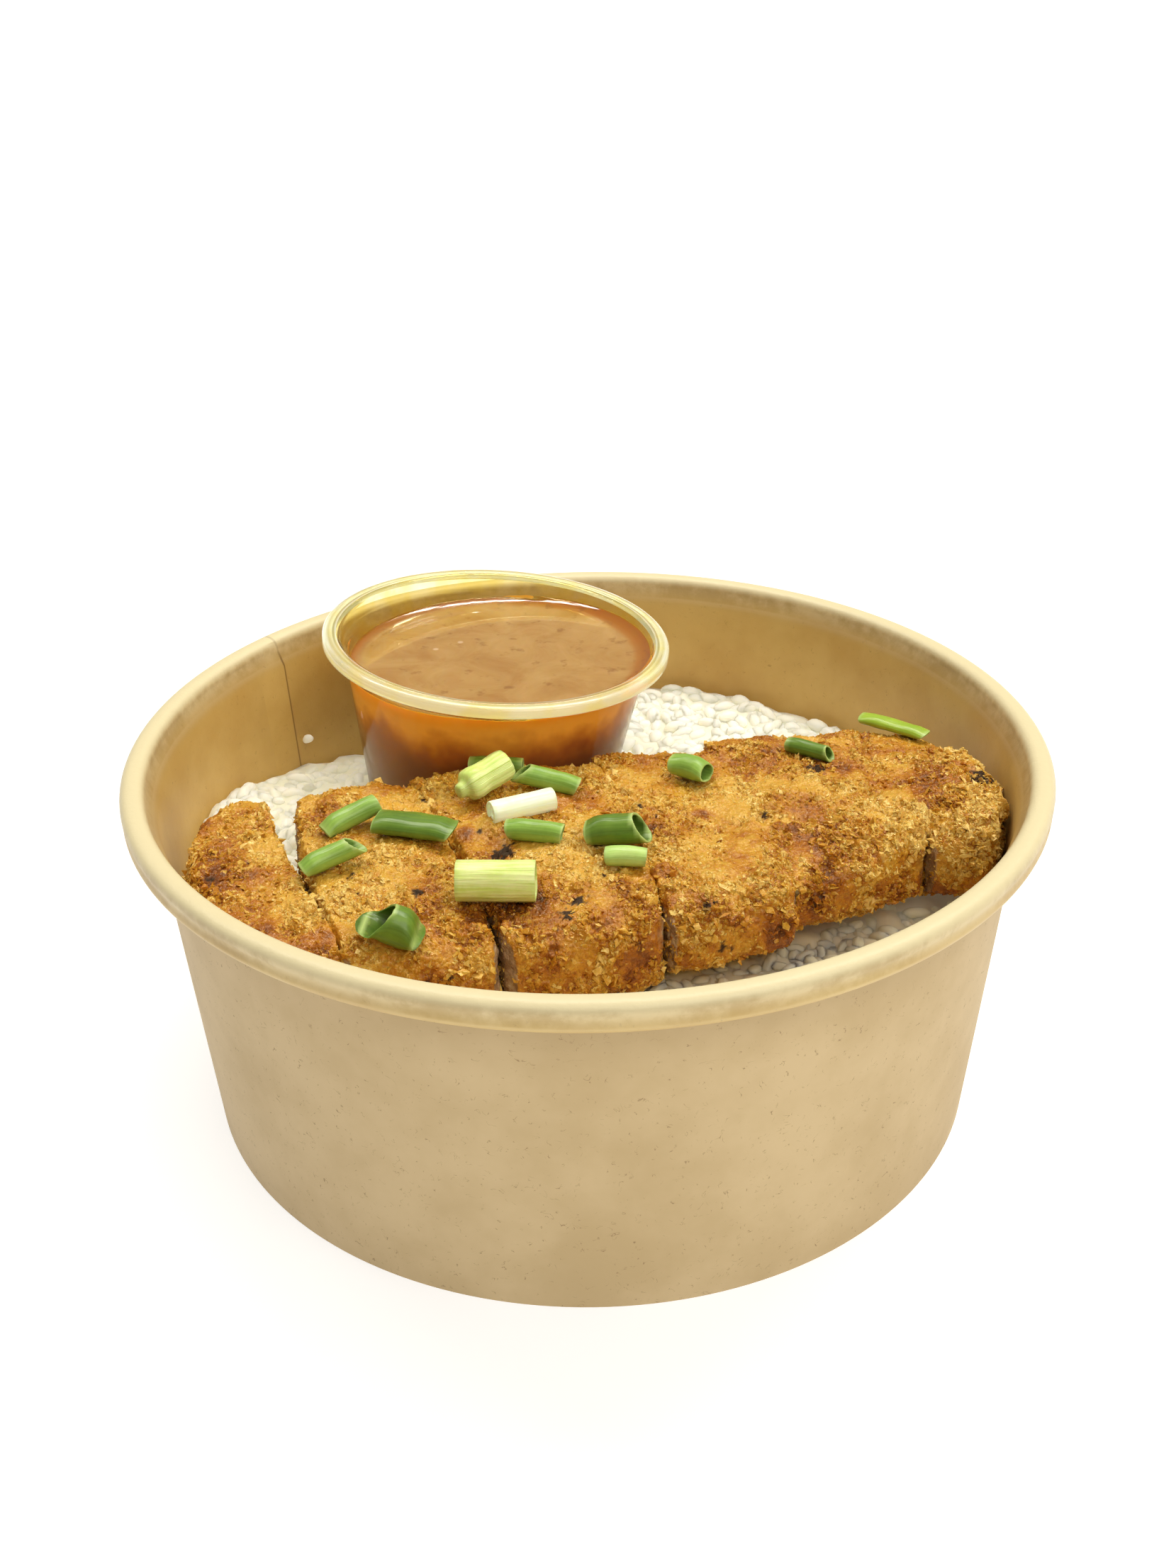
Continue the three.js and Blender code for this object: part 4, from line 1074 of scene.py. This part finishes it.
def slice_block(name):
    """A block of small squares from -1 to 1, to be shaped."""
    across, along, thick = BLOCK
    block = primitive(
        bpy.ops.mesh.primitive_grid_add, name, x_subdivisions=across, y_subdivisions=along, size=2,
        location=(0, 0, -1))
    edit(block)
    select_everything()
    for _ in range(thick):
        bpy.ops.mesh.extrude_region_move(TRANSFORM_OT_translate={"value": (0, 0, 2 / thick)})
    face_outwards()
    edit_done()
    return block


def pressed_by_cup(piece):
    """The cup stands against the back of the cutlet and has pressed its place into it."""
    outline = [
        (CUP_BODY_RADIUS + CUP_SLOPE * (height + CUP_SHOULDER) + PRESS_CLEARANCE, height)
        for height in (-CUP_HEIGHT - 3, 4)]
    press = turned("press", outline, PRESS_SIDES)
    tilted(press)
    modify(piece, "BOOLEAN", operation="DIFFERENCE", solver="EXACT", object=press)
    removed(press)


def cut_share(crust_side, normals):
    """How much each point belongs to a knife cut: 1 on it, 0 on crust."""
    facing = normals @ np.array(CUT_FACING)
    share = np.clip((np.abs(facing) - 0.66) / 0.2, 0, 1)
    return np.where(np.sign(facing) == crust_side, 0, share) if crust_side else share


def weigh(piece, name, shares):
    """A vertex group with the given weights, in steps of a tenth."""
    weights = piece.vertex_groups.new(name=name)
    levels = np.round(shares * 10).astype(int)
    for level in range(1, 11):
        weights.add(np.nonzero(levels == level)[0].tolist(), level / 10, "REPLACE")


def patchy(points, pitch, seed):
    """From 0 to 1, in patches."""
    values = [0.5 + noise.noise(Vector((x, y, z + seed)) / pitch) for x, y, z in points]
    return np.clip(values, 0, 1)


def make_slice(index):
    name = SLICE_NAMES[index]
    piece = slice_block(name.replace("slice", "piece"))
    mesh = piece.data
    set_points(mesh, shaped_as_slice(index, points_of(mesh)) * MM)
    if index in PRESSED_SLICES:
        pressed_by_cup(piece)
    modify(piece, "REMESH", mode="VOXEL", voxel_size=VOXEL * MM)
    modify(piece, "SMOOTH", factor=0.5, iterations=3)
    cut = cut_share(SLICES[index][5], normals_of(mesh))
    crust = np.maximum(1 - cut, CRUST_OVER_CUTS)
    crumbly = np.clip(1.9 * patchy(points_of(mesh) / MM, *CRUMB_PATCHES) - 0.3, 0.25, 1)
    weigh(piece, "crust", crust)
    weigh(piece, "crumbly crust", crust * crumbly)
    weigh(piece, "cut", cut)
    displace(piece, LUMPS, LUMPINESS, "crust")
    before, normals = points_of(mesh), normals_of(mesh)
    displace(piece, KNOBS, KNOBBINESS, "crumbly crust")
    displace(piece, CRUMB, PITTING, "crumbly crust", 0.45)
    displace(piece, FINE, FINE_RELIEF, "crust")
    displace(piece, MEAT_FIBRE, TORN_MEAT, "cut")
    piece.vertex_groups.clear()
    points = points_of(mesh)
    height = points[:, 2] / MM
    below_top = np.percentile(height, 90) - height
    meat = np.clip((below_top - CRUST_THICKNESS) / 0.8, 0, 1)
    meat *= np.clip((height - LOWEST_MEAT) / 0.6, 0, 1)
    set_attribute(mesh, "crumb", np.clip(((points - before) * normals).sum(1) / MM / 0.5, -1, 1))
    set_attribute(mesh, "crumbly", crumbly)
    set_attribute(mesh, "meat", np.clip(cut * 1.3, 0, 1) * meat)
    set_attribute(mesh, "tint", np.zeros(len(points)))
    smooth(piece)
    return finished(piece, CRUST, "crust", name)


def seen_at(column, row, pieces):
    """The first point of the pieces that shows at a place in the frame, in metres."""
    across = (column - FRAME_PIXELS[0] / 2) / FOCAL_PIXELS
    upwards = (FRAME_PIXELS[1] / 2 - row) / FOCAL_PIXELS
    direction = (CAMERA_RIGHT * across + CAMERA_UP * upwards - CAMERA_BACK).normalized()
    hits = [piece.ray_cast(EYE * MM, direction) for piece in pieces]
    places = [place for hit, place, _, _ in hits if hit]
    return min(places, key=lambda place: (place - EYE * MM).length) if places else None


def mark_crust(slices):
    """Lumps, burnt specks and browner or more golden patches at their places; a few of the browner patches
    are painted shade.
    """
    marks = [
        (kind, seen_at(column, row, slices), size)
        for kind, spots in (("nodule", NODULES), ("burn", BURNT), ("brown_and_shade", BROWNED_AND_SHADED))
        for column, row, *size in spots]
    for piece in slices:
        mesh = piece.data
        points, normals = points_of(mesh), normals_of(mesh)
        crumb = attribute_of(mesh, "crumb")
        burn, brown_and_shade, raised = np.zeros((3, len(points)))
        for kind, spot, (radius, *amount) in marks:
            if spot is None:
                continue
            distance = np.linalg.norm(points - np.array(spot), axis=1) / MM
            if kind == "burn":
                near = np.nonzero(distance < radius * 1.9)[0]
                ragged = np.array([noise.noise(Vector(point) / (0.8 * MM)) for point in points[near]])
                charred = (radius * (1.05 + 1.5 * ragged) - distance[near]) / 0.25 + 0.5 * crumb[near]
                burn[near] = np.maximum(burn[near], charred.clip(0, 1))
            elif kind == "brown_and_shade":
                brown_and_shade += BROWNING * amount[0] * np.exp(-(distance / radius) ** 2)
            else:
                near = np.exp(-(distance / radius) ** 4)
                raised = np.maximum(raised, near * amount[0])
                brown_and_shade += NODULE_BROWNING * near
        set_points(mesh, points + normals * raised[:, None] * MM)
        set_attribute(mesh, "burn", burn)
        set_attribute(mesh, "brown_and_shade", brown_and_shade)


# ---- Crumbs ----

CRUMB_SEED = 5
CRUMB_SINK = 0.18
CRUMB_CROOK = 0.19
CRUMB_TINT = (-0.06, 0.09)  # middle and spread
LOW_EDGE = (3.0, 40.5, 2.0)  # more flakes at the cutlet's lower edge: how many, height and spread
TOP_RIM = (0.4, 0.25)  # which way the top's rim faces: upward part of its normal, and spread


def surface_samples(pieces, count, random, density):
    """Random places on the pieces, with their normals, browning (some of it painted shade) and burning, more
    where it is dense.
    """
    corners, normals, looks = [], [], []
    for piece in pieces:
        mesh = piece.data
        mesh.calc_loop_triangles()
        triangles = listed(mesh.loop_triangles, "vertices", 3, np.int32)
        look = np.stack((attribute_of(mesh, "brown_and_shade"), attribute_of(mesh, "burn")))
        corners.append(points_of(mesh)[triangles])
        normals.append(normals_of(mesh)[triangles].mean(1))
        looks.append(look[:, triangles[:, 0]])
    corners, normals, looks = np.concatenate(corners), np.concatenate(normals), np.concatenate(looks, 1)
    places = corners.mean(1)
    sides = corners[:, 1:] - corners[:, :1]
    weight = np.linalg.norm(np.cross(sides[:, 0], sides[:, 1]), axis=1) * density(places / MM, normals)
    chosen = random.choice(len(corners), count * 2, p=weight / weight.sum())
    rim_highlight = random.uniform(0, 1, len(chosen)) + 0.9 * patchy(places[chosen] / MM, *CRUMB_PATCHES)
    chosen = chosen[np.argsort(-rim_highlight)[:count]]
    return places[chosen], normals[chosen], *looks[:, chosen]


def coarse_share(points):
    share = np.zeros(len(points))
    for x, y, spread, amount in COARSE:
        share += amount * np.exp(-((points[:, 0] - x) ** 2 + (points[:, 1] - y) ** 2) / spread ** 2)
    return share


def fine_density(points, normals):
    upward = np.clip(normals[:, 2] + 0.45, 0.03, 1)
    return (1 + 0.5 * coarse_share(points)) * upward


def flake_density(points, normals):
    upward = np.clip(normals[:, 2] + 0.5, 0.03, 1)
    amount, height, spread = LOW_EDGE
    low_edge = amount * np.exp(-((points[:, 2] - height) / spread) ** 2) * (normals[:, 1] < 0.3)
    return (0.35 + coarse_share(points)) * upward + low_edge


def clump_density(points, normals):
    """Clumps stand along the top's rim, where the crust is thickest, and in the coarse places."""
    facing, spread = TOP_RIM
    return np.exp(-((normals[:, 2] - facing) / spread) ** 2) + 0.06 * coarse_share(points)


def lean_matrices(points, normals, sizes, flatness, lean, random):
    """Places for flat flakes that lie on the surface, each leaning its own way."""
    matrices = []
    for point, normal, size in zip(points, normals, sizes):
        facing = Vector(normal) + Vector(random.normal(0, lean, 3))
        turn = facing.to_track_quat("Z", "X").to_matrix().to_4x4()
        spin = Matrix.Rotation(random.uniform(0, math.tau), 4, "Z")
        stretch = Matrix.Diagonal((size, size * random.uniform(0.45, 0.9), size * flatness, 1))
        at = Vector(point) - Vector(normal) * (CRUMB_SINK * size - 0.1) * MM
        matrices.append(np.array(Matrix.Translation(at) @ turn @ spin @ stretch))
    return matrices


def round_crumb():
    return primitive(bpy.ops.mesh.primitive_ico_sphere_add, "crumb", subdivisions=1, radius=0.5 * MM)


def pointed_crumb():
    """Two pyramids, base to base."""
    shape = primitive(
        bpy.ops.mesh.primitive_cone_add, "crumb", vertices=4, radius1=0.5 * MM, depth=0.5 * MM,
        end_fill_type="TRIFAN")
    points = points_of(shape.data) / MM + (0, 0, 0.25)
    lower_tip = (np.hypot(points[:, 0], points[:, 1]) < 0.1) & (points[:, 2] < 0.25)
    points[lower_tip, 2] = -0.5
    set_points(shape.data, points * MM)
    return shape


CRUMB_KINDS = (  # name, how many, shape, density; shape and scale of the sizes' gamma law, smallest
    # and largest size; flatness and lean
    ("fine_crumbs", 24000, pointed_crumb, fine_density, (6.0, 0.1, 0.28, 1.2), 0.55, 0.6),
    ("crumb_flakes", 7000, round_crumb, flake_density, (6.0, 0.19, 0.6, 2.1), 0.34, 0.8),
    ("crumb_clumps", 2600, round_crumb, clump_density, (7.0, 0.17, 0.8, 1.9), 0.62, 1.0),
)


def make_crumbs(slices):
    random = np.random.default_rng(CRUMB_SEED)
    for name, count, make_shape, density, sizing, flatness, lean in CRUMB_KINDS:
        shape = make_shape()
        corners = len(shape.data.vertices)
        points, normals, browns_and_shade, burns = surface_samples(slices, count, random, density)
        gamma_shape, scale, smallest, largest = sizing
        sizes = random.gamma(gamma_shape, scale, count).clip(smallest, largest)
        # The crumbs take on the browning and painted shade of the crust under them.
        tints = browns_and_shade * 0.8 + random.normal(*CRUMB_TINT, count) - 0.03 * coarse_share(points / MM)
        crooks = random.normal(0, CRUMB_CROOK * MM, (count, corners, 3))
        matrices = lean_matrices(points, normals, sizes, flatness, lean, random)
        crumbs = scattered(name, shape, matrices, tints, crooks)
        set_attribute(crumbs.data, "burn", np.repeat(burns, corners))
        set_attribute(crumbs.data, "crumb", np.full(count * corners, 0.6))
        smooth(crumbs, 35)
        finished(crumbs, CRUST, "crust")


# ---- Sauce cup ----

def tilted(piece):
    piece.rotation_euler = (0, CUP_TILT, 0)
    piece.location = CUP_RIM_CENTRE * MM
    settle(piece)


def make_cup():
    wall, body, neck, rim = CUP_WALL, CUP_BODY_RADIUS, CUP_NECK_RADIUS, CUP_RIM_RADIUS
    base, shoulder, bottom, skirt = CUP_BASE_RADIUS, -CUP_SHOULDER, -CUP_HEIGHT, -CUP_LIP
    lip = neck + wall
    inner_body = body - wall
    inner_base = base - wall + CUP_SLOPE * wall
    outline = [
        (inner_base - 1.6, bottom + wall), (inner_base - 0.6, bottom + wall + 0.1),
        (inner_base, bottom + wall + 0.7), (inner_body, shoulder - wall),
        (inner_body + 0.25, shoulder - wall * 0.4), (neck - wall - 0.2, shoulder + wall * 0.4),
        (neck - wall, shoulder + wall), (neck - wall / 2, -wall - 0.4), (neck - 0.05, -0.35),
        (lip - 0.1, -0.08), (lip + 0.35, 0), (lip + 0.6, -0.14), (lip + 0.85, -0.02), (rim - 0.9, 0),
        (rim - 0.35, -0.12), (rim, -0.55), (rim, skirt + 0.15), (rim - 0.15, skirt),
        (rim - wall + 0.12, skirt), (rim - wall, skirt + 0.15), (rim - wall, -wall - 0.3),
        (rim - wall - 0.35, -wall), (lip + 0.3, -wall), (lip - 0.15, -wall - 0.5),
        (neck, shoulder + 0.5), (neck - 0.2, shoulder), (body + 0.15, shoulder - wall * 0.8),
        (body, shoulder - wall - 0.4), (base + 0.1, bottom + 0.8), (base - 0.6, bottom),
        (base - 1.6, bottom),
    ]
    cup = turned("sauce_cup_clear", outline, CUP_SIDES)
    two_looks(
        cup, CLEAR_PLASTIC, LIP_PLASTIC,
        lambda at, normal: at.z > skirt - 0.1 and at.to_2d().length > LIP_START)
    points = points_of(cup.data) / MM
    out = (np.hypot(points[:, 0], points[:, 1]) - LIP_START) / (rim - LIP_START)
    set_attribute(cup.data, "across lip", out.clip(0, 1))
    tilted(cup)
    smooth(cup, 50)
    added(cup, "clear_plastic", "sauce_cup")


def make_sauce_filling():
    """Sauce up to a level surface that creeps up the wall, reaching just into the plastic."""
    wall, shoulder, bottom = CUP_WALL, -CUP_SHOULDER, -CUP_HEIGHT
    overlap = wall * 0.5
    body, neck = CUP_BODY_RADIUS - overlap, CUP_NECK_RADIUS - overlap
    base = CUP_BASE_RADIUS - wall + CUP_SLOPE * wall + overlap
    outline = [
        (base - 0.8, bottom + wall * 0.6), (base, bottom + wall + 0.5), (body, shoulder - wall),
        (body + 0.2, shoulder - wall * 0.4), (neck - 0.2, shoulder + wall * 0.4),
        (neck, shoulder + wall), (neck, 0),
    ]
    filling = turned("sauce_filling", outline, CUP_SIDES)
    tilted(filling)
    edit(filling)
    cut_at((0, 0, (SAUCE_LEVEL + 1.0) * MM), (0, 0, 1), use_fill=True, clear_outer=True)
    select_where(filling, lambda face: face.normal.z > 0.9 and face.calc_center_median().z > 0.05)
    for width, drop in MENISCUS:
        bpy.ops.mesh.inset(thickness=width * MM, use_even_offset=True)
        bpy.ops.transform.translate(value=(0, 0, -drop * MM))
    edit_done()
    points = points_of(filling.data) / MM
    from_centre = np.linalg.norm(points[:, :2] - np.array(cup_axis(SAUCE_LEVEL)), axis=1)
    surface = points[:, 2] > SAUCE_LEVEL - 0.2
    start, width = SAUCE_MARGIN
    set_attribute(filling.data, "margin", surface * np.clip((from_centre - start) / width, 0, 1))
    smooth(filling, 60)
    two_looks(filling, SAUCE_TOP, SAUCE_SIDE, lambda at, normal: normal.z <= 0.4)
    added(filling, "sauce", "sauce")


# ---- Spring onion ----

LEAVES = {  # x, y, length, width, turn, rise of the right end, flatness; then for the left and right
    # end how much its cut leans and how far it is pressed shut; material
    1: (-37.7, -13.6, 9.6, 3.5, 32, 12, 1, (0.1, 0.0), (0.5, 0.15), LEAF_GREEN),
    2: (-27.4, -16.7, 12.5, 4.9, -15, 0, 0.66, (0, 0.35), (0.2, 0.3), LEAF_DARK),
    3: (-39.4, -26.6, 8.8, 3.4, 24, 13, 1, (0.2, -0.8), (0.4, 0.0), LEAF_GREEN),
    5: (-6.3, -3.1, 9.6, 3.5, -9, -11, 1, (-0.8, 0.25), (0.0, 0.2), LEAF_GREEN),
    7: (-8.2, -19.8, 8.6, 3.5, -12, 0, 1, (0.25, 0.15), (0.15, 0.15), LEAF_GREEN),
    8: (4.1, -20.4, 8.6, 5.0, -8, 7, 0.95, (0.1, -0.5), (0.3, 0.0), LEAF_DARK),
    9: (5.7, -27.3, 6.2, 3.2, -5, 0, 1, (0.1, 0.1), (0.15, 0.15), LEAF_LIGHT),
    11: (-27.5, -45.4, 6.6, 6.0, -6, -19, 1, (-0.8, 0.3), (0.85, 0.7), LEAF_DARK),
    12: (17.2, 1.0, 6.2, 4.2, -32, 0, 0.95, (0.2, -0.2), (0.2, 0.45), LEAF_GREEN),
    13: (37.5, 7.0, 7.8, 2.7, -32, 0, 1, (0, -0.5), (0.15, 0.0), LEAF_DARK),
    14: (54.0, 18.8, 12.0, 2.9, -36, 0, 0.7, (0.4, 0.4), (0.3, 0.3), LEAF_BRIGHT),
    15: (-15.2, 3.2, 9.0, 3.0, -5, 0, 1, (0, 0), (0.1, 0.1), LEAF_DARK),
}
STEMS = {  # x, y, length, width, turn, material, slot
    6: (-10.5, -11.4, 10.8, 3.8, 24, STEM_WHITE, "onion_white"),
    10: (-13.7, -35.2, 11.8, 6.3, -2, STEM_PALE, "onion_pale"),
}
BULB = (4, -16.9, -4.8, 10.4, 5.6, 40, 10)  # number, x, y, length, width, turn, rise
BULB_PROFILE = (  # places along it from -1 to 1, and share of the radius there
    (-1, 0.30), (-0.98, 0.43), (-0.74, 0.47), (-0.70, 0.80), (-0.62, 0.95), (-0.45, 1.0), (-0.25, 0.98),
    (0, 0.88), (0.3, 0.9), (0.6, 0.94), (0.82, 0.93), (0.92, 0.88), (0.93, 0.6), (0.8, 0.5), (0.78, 0.2),
)
ENDS = (-1, 1)
LEAF_WALL = 0.36
LEAF_EDGE = 0.25  # width of the pale edge at a cut
PINCH = (2.6, 0.22)  # how long a shut end is, and how far it sinks and widens
STEM_LAYER = 0.55  # thickness of the outermost layer
LAYER_PITCH = 0.68
LAYER_STEP = 0.5  # how much shorter each layer is than the one round it
WRINKLE = relief_texture("CLOUDS", 3.0, noise_depth=1)


def onion_node(number):
    return f"spring_onion_{number:02d}"


def tube(name, length, width, sides=28, cuts=10):
    piece = primitive(
        bpy.ops.mesh.primitive_cylinder_add, name, vertices=sides, radius=width / 2 * MM,
        depth=length * MM, end_fill_type="NOTHING", rotation=(0, math.pi / 2, 0))
    edit(piece)
    select_where(piece, lambda e: abs((e.verts[0].co - e.verts[1].co).x) > length * MM / 2, "EDGE")
    bpy.ops.mesh.subdivide(number_cuts=cuts)
    edit_done()
    return piece


def lay(piece, number, x, y, turn, rise=0.0):
    """Puts a piece that lies along X where its CAD solid is."""
    low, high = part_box(onion_node(number))
    piece.rotation_euler = (0, -math.radians(rise), math.radians(turn))
    lift = 0.2 * abs(math.sin(math.radians(rise))) * piece.dimensions.x / 2
    piece.location = (x * MM, y * MM, (low.z + high.z) / 2 + lift)
    settle(piece)


def make_leaf(number, values):
    x, y, length, width, turn, rise, flatness, leans, shuts, look = values
    leaf = tube(f"onion_leaf_{number:02d}", length * 1.8, width, cuts=16)
    widening = 1 + (1 - flatness) / 2
    edit(leaf)
    for end, lean in zip(ENDS, leans):
        cut_at((end * length / 2 * MM, 0, 0), (end, 0, -lean), clear_outer=True)
    select_everything()
    bpy.ops.transform.resize(value=(1, widening, flatness), center_override=(0, 0, 0))
    edit_done()
    thicken(leaf, LEAF_WALL)
    soften(leaf, 0.08)
    points = points_of(leaf.data) / MM
    from_axis = np.hypot(points[:, 1] / widening, points[:, 2] / flatness)
    set_attribute(leaf.data, "inside", np.clip((width / 2 - from_axis - 0.15) / 0.15, 0, 1))
    pinched_length, spread = PINCH
    for end, shut in zip(ENDS, shuts):
        near = np.clip(1 - (length / 2 - end * points[:, 0]) / pinched_length, 0, 1) ** 2 * shut
        points[:, 2] = points[:, 2] * (1 - near) - near * width * flatness * spread
        points[:, 1] *= 1 + spread * near
    set_points(leaf.data, points * MM)
    displace(leaf, WRINKLE, 0.45)
    points = points_of(leaf.data) / MM
    edge = np.zeros(len(points))
    for end, lean in zip(ENDS, leans):
        from_cut = length / 2 - end * points[:, 0] + lean * points[:, 2] / flatness
        share = 1.3 - np.abs(from_cut) / math.hypot(1, lean) / LEAF_EDGE
        edge = np.maximum(edge, share.clip(0, 1))
    set_attribute(leaf.data, "edge", edge)
    lay(leaf, number, x, y, turn, rise)
    smooth(leaf, 40)
    finished(leaf, look, "onion_green", onion_node(number))


def make_stem(number, values):
    """Tubes inside each other round a core, as the layers of a cut stalk."""
    x, y, length, width, turn, look, slot = values
    name = f"onion_stem_{number:02d}"
    stem = tube(name, length, width, sides=48, cuts=14)
    thicken(stem, STEM_LAYER)
    layers = [stem]
    radius = width / 2 - 0.7
    step = 0
    while radius > 0.5:
        step += 1
        inner = tube("layer", length - LAYER_STEP * step, radius * 2, sides=36, cuts=4)
        thicken(inner, min(0.5, radius * 0.6))
        layers.append(inner)
        radius -= LAYER_PITCH
    core_width = max(radius * 2, 0.8) + 0.9
    core = tube("layer", length - LAYER_STEP * step - 0.8, core_width, sides=18, cuts=2)
    edit(core)
    select_everything()
    bpy.ops.mesh.fill_holes(sides=0)
    edit_done()
    stem = joined(name, [*layers, core])
    soften(stem, 0.1)
    displace(stem, WRINKLE, 0.2)
    from_end = length / 2 - np.abs(points_of(stem.data)[:, 0]) / MM
    set_attribute(stem.data, "edge", np.clip(1 - from_end / 0.3, 0, 1) * 0.4)
    lay(stem, number, x, y, turn)
    smooth(stem, 40)
    finished(stem, look, slot, onion_node(number))


def make_bulb():
    """The piece from just above the root: ribbed, with a thinner shoot out of its near end."""
    number, x, y, length, width, turn, rise = BULB
    end = length / 2
    outline = [(out * width / 2, along * end) for along, out in BULB_PROFILE]
    bulb = turned(f"onion_bulb_{number:02d}", outline, 60)
    points = points_of(bulb.data) / MM
    angle = np.arctan2(points[:, 1], points[:, 0])
    body = np.clip((points[:, 2] / end + 0.72) / 0.2, 0, 1)
    grooves = 1 + 0.05 * body * np.abs(np.sin(angle * 6)) - 0.03
    points[:, :2] *= grooves[:, None]
    points = points[:, [2, 1, 0]] * (1, 1, -1)
    set_points(bulb.data, points * MM)
    uv = bulb.data.uv_layers.new(name="UVMap")
    corners = listed(bulb.data.loops, "vertex_index", kind=np.int32)
    around, along = angle[corners] / math.tau, points[corners, 0] / length
    uv.data.foreach_set("uv", np.stack((around, along), 1).ravel())
    modify(bulb, "SUBSURF", levels=1, render_levels=1)
    displace(bulb, WRINKLE, 0.5)
    set_attribute(bulb.data, "edge", np.zeros(len(bulb.data.vertices)))
    lay(bulb, number, x, y, turn, rise)
    smooth(bulb, 60)
    finished(bulb, STEM_PALE, "onion_pale", onion_node(number))


# ---- Stage ----

FILL = 0.24
LAMPS = ((0.81, 0.18), (0.49, 0.43), (-0.125, 0.71), (-0.71, 0.38))  # place across and length in metres
LAMP_WIDTH = 0.2
LAMP_BACK = 0.47  # how far behind the bowl the lamps hang
LAMP_HEIGHT = 1.2
FLOOR_SIZE = 8
LAMP_POWER = 9.3  # for each metre of lamp
SOFTBOX_POWER = 5.5
WINDOW_POWER = 9.8
WARM = (1, 0.965, 0.88)


def make_camera():
    camera = bpy.data.objects.new("camera", bpy.data.cameras.new("camera"))
    camera.data.sensor_width = SENSOR
    camera.data.lens = FOCAL_PIXELS * SENSOR / FRAME_PIXELS[1]
    camera.data.clip_start, camera.data.clip_end = 0.01, 20
    axes = Matrix((CAMERA_RIGHT, CAMERA_UP, CAMERA_BACK)).transposed()
    camera.matrix_world = Matrix.Translation(EYE * MM) @ axes.to_4x4()
    bpy.context.scene.collection.objects.link(camera)
    bpy.context.scene.camera = camera


def make_floor():
    floor = primitive(bpy.ops.mesh.primitive_plane_add, "floor", size=FLOOR_SIZE)
    made, tree = material("floor", Roughness=0.9, Emission_Strength=1.0)
    where = place(tree)
    colour = mixed(noise_value(where, 3.0), (0.59, 0.59, 0.60), (0.61, 0.61, 0.62))
    far = ranged(measured("LENGTH", where), 0.5, 2.2)
    shade(made, Base_Color=colour, Emission_Color=mixed(far, (0.62, 0.62, 0.62), (1.0, 1.0, 1.0)))
    floor.data.materials.append(made)


def area_light(name, location, target, size, energy):
    data = bpy.data.lights.new(name, "AREA")
    data.shape = "RECTANGLE"
    data.size, data.size_y = size
    data.energy = energy
    data.color = WARM
    light = bpy.data.objects.new(name, data)
    light.location = location
    light.rotation_euler = (Vector(target) - Vector(location)).to_track_quat("-Z", "Y").to_euler()
    bpy.context.scene.collection.objects.link(light)


def make_world():
    """A soft warm fill, and plain white where the camera looks past the floor."""
    world = bpy.data.worlds.new("studio")
    bpy.context.scene.world = world
    world.use_nodes = True
    tree = world.node_tree
    fill = tree.nodes["Background"]
    feed(fill.inputs["Color"], (1, 0.965, 0.87))
    feed(fill.inputs["Strength"], FILL)
    backdrop = node(tree, "Background", {"Color": (1, 1, 1), "Strength": 1.0})
    seen = node(tree, "LightPath").outputs["Is Camera Ray"]
    shown = node(tree, "MixShader", {0: seen, 1: fill.outputs[0], 2: backdrop.outputs[0]})
    feed(tree.nodes["World Output"].inputs["Surface"], shown.outputs[0])


def make_lights():
    for number, (across, length) in enumerate(LAMPS):
        area_light(
            f"lamp_{number}", (across, LAMP_BACK, LAMP_HEIGHT), (across, 0.2, 0), (length, LAMP_WIDTH),
            LAMP_POWER * length)
    area_light("softbox", (0.6, 0.1, 1.22), (0, 0, 0), (1.4, 1.4), SOFTBOX_POWER)
    area_light("window", (0.7, -0.95, 1.1), (0, 0, 0.03), (1.2, 0.9), WINDOW_POWER)


# ---- Assembly ----

make_camera()
make_bowl()
make_rice_bed()
make_rice_grains()
slices = [make_slice(index) for index in range(len(SLICES))]
mark_crust(slices)
make_crumbs(slices)
make_cup()
make_sauce_filling()
for number, values in LEAVES.items():
    make_leaf(number, values)
for number, values in STEMS.items():
    make_stem(number, values)
make_bulb()
make_floor()
make_world()
make_lights()
bpy.context.scene.view_settings.view_transform = "Standard"
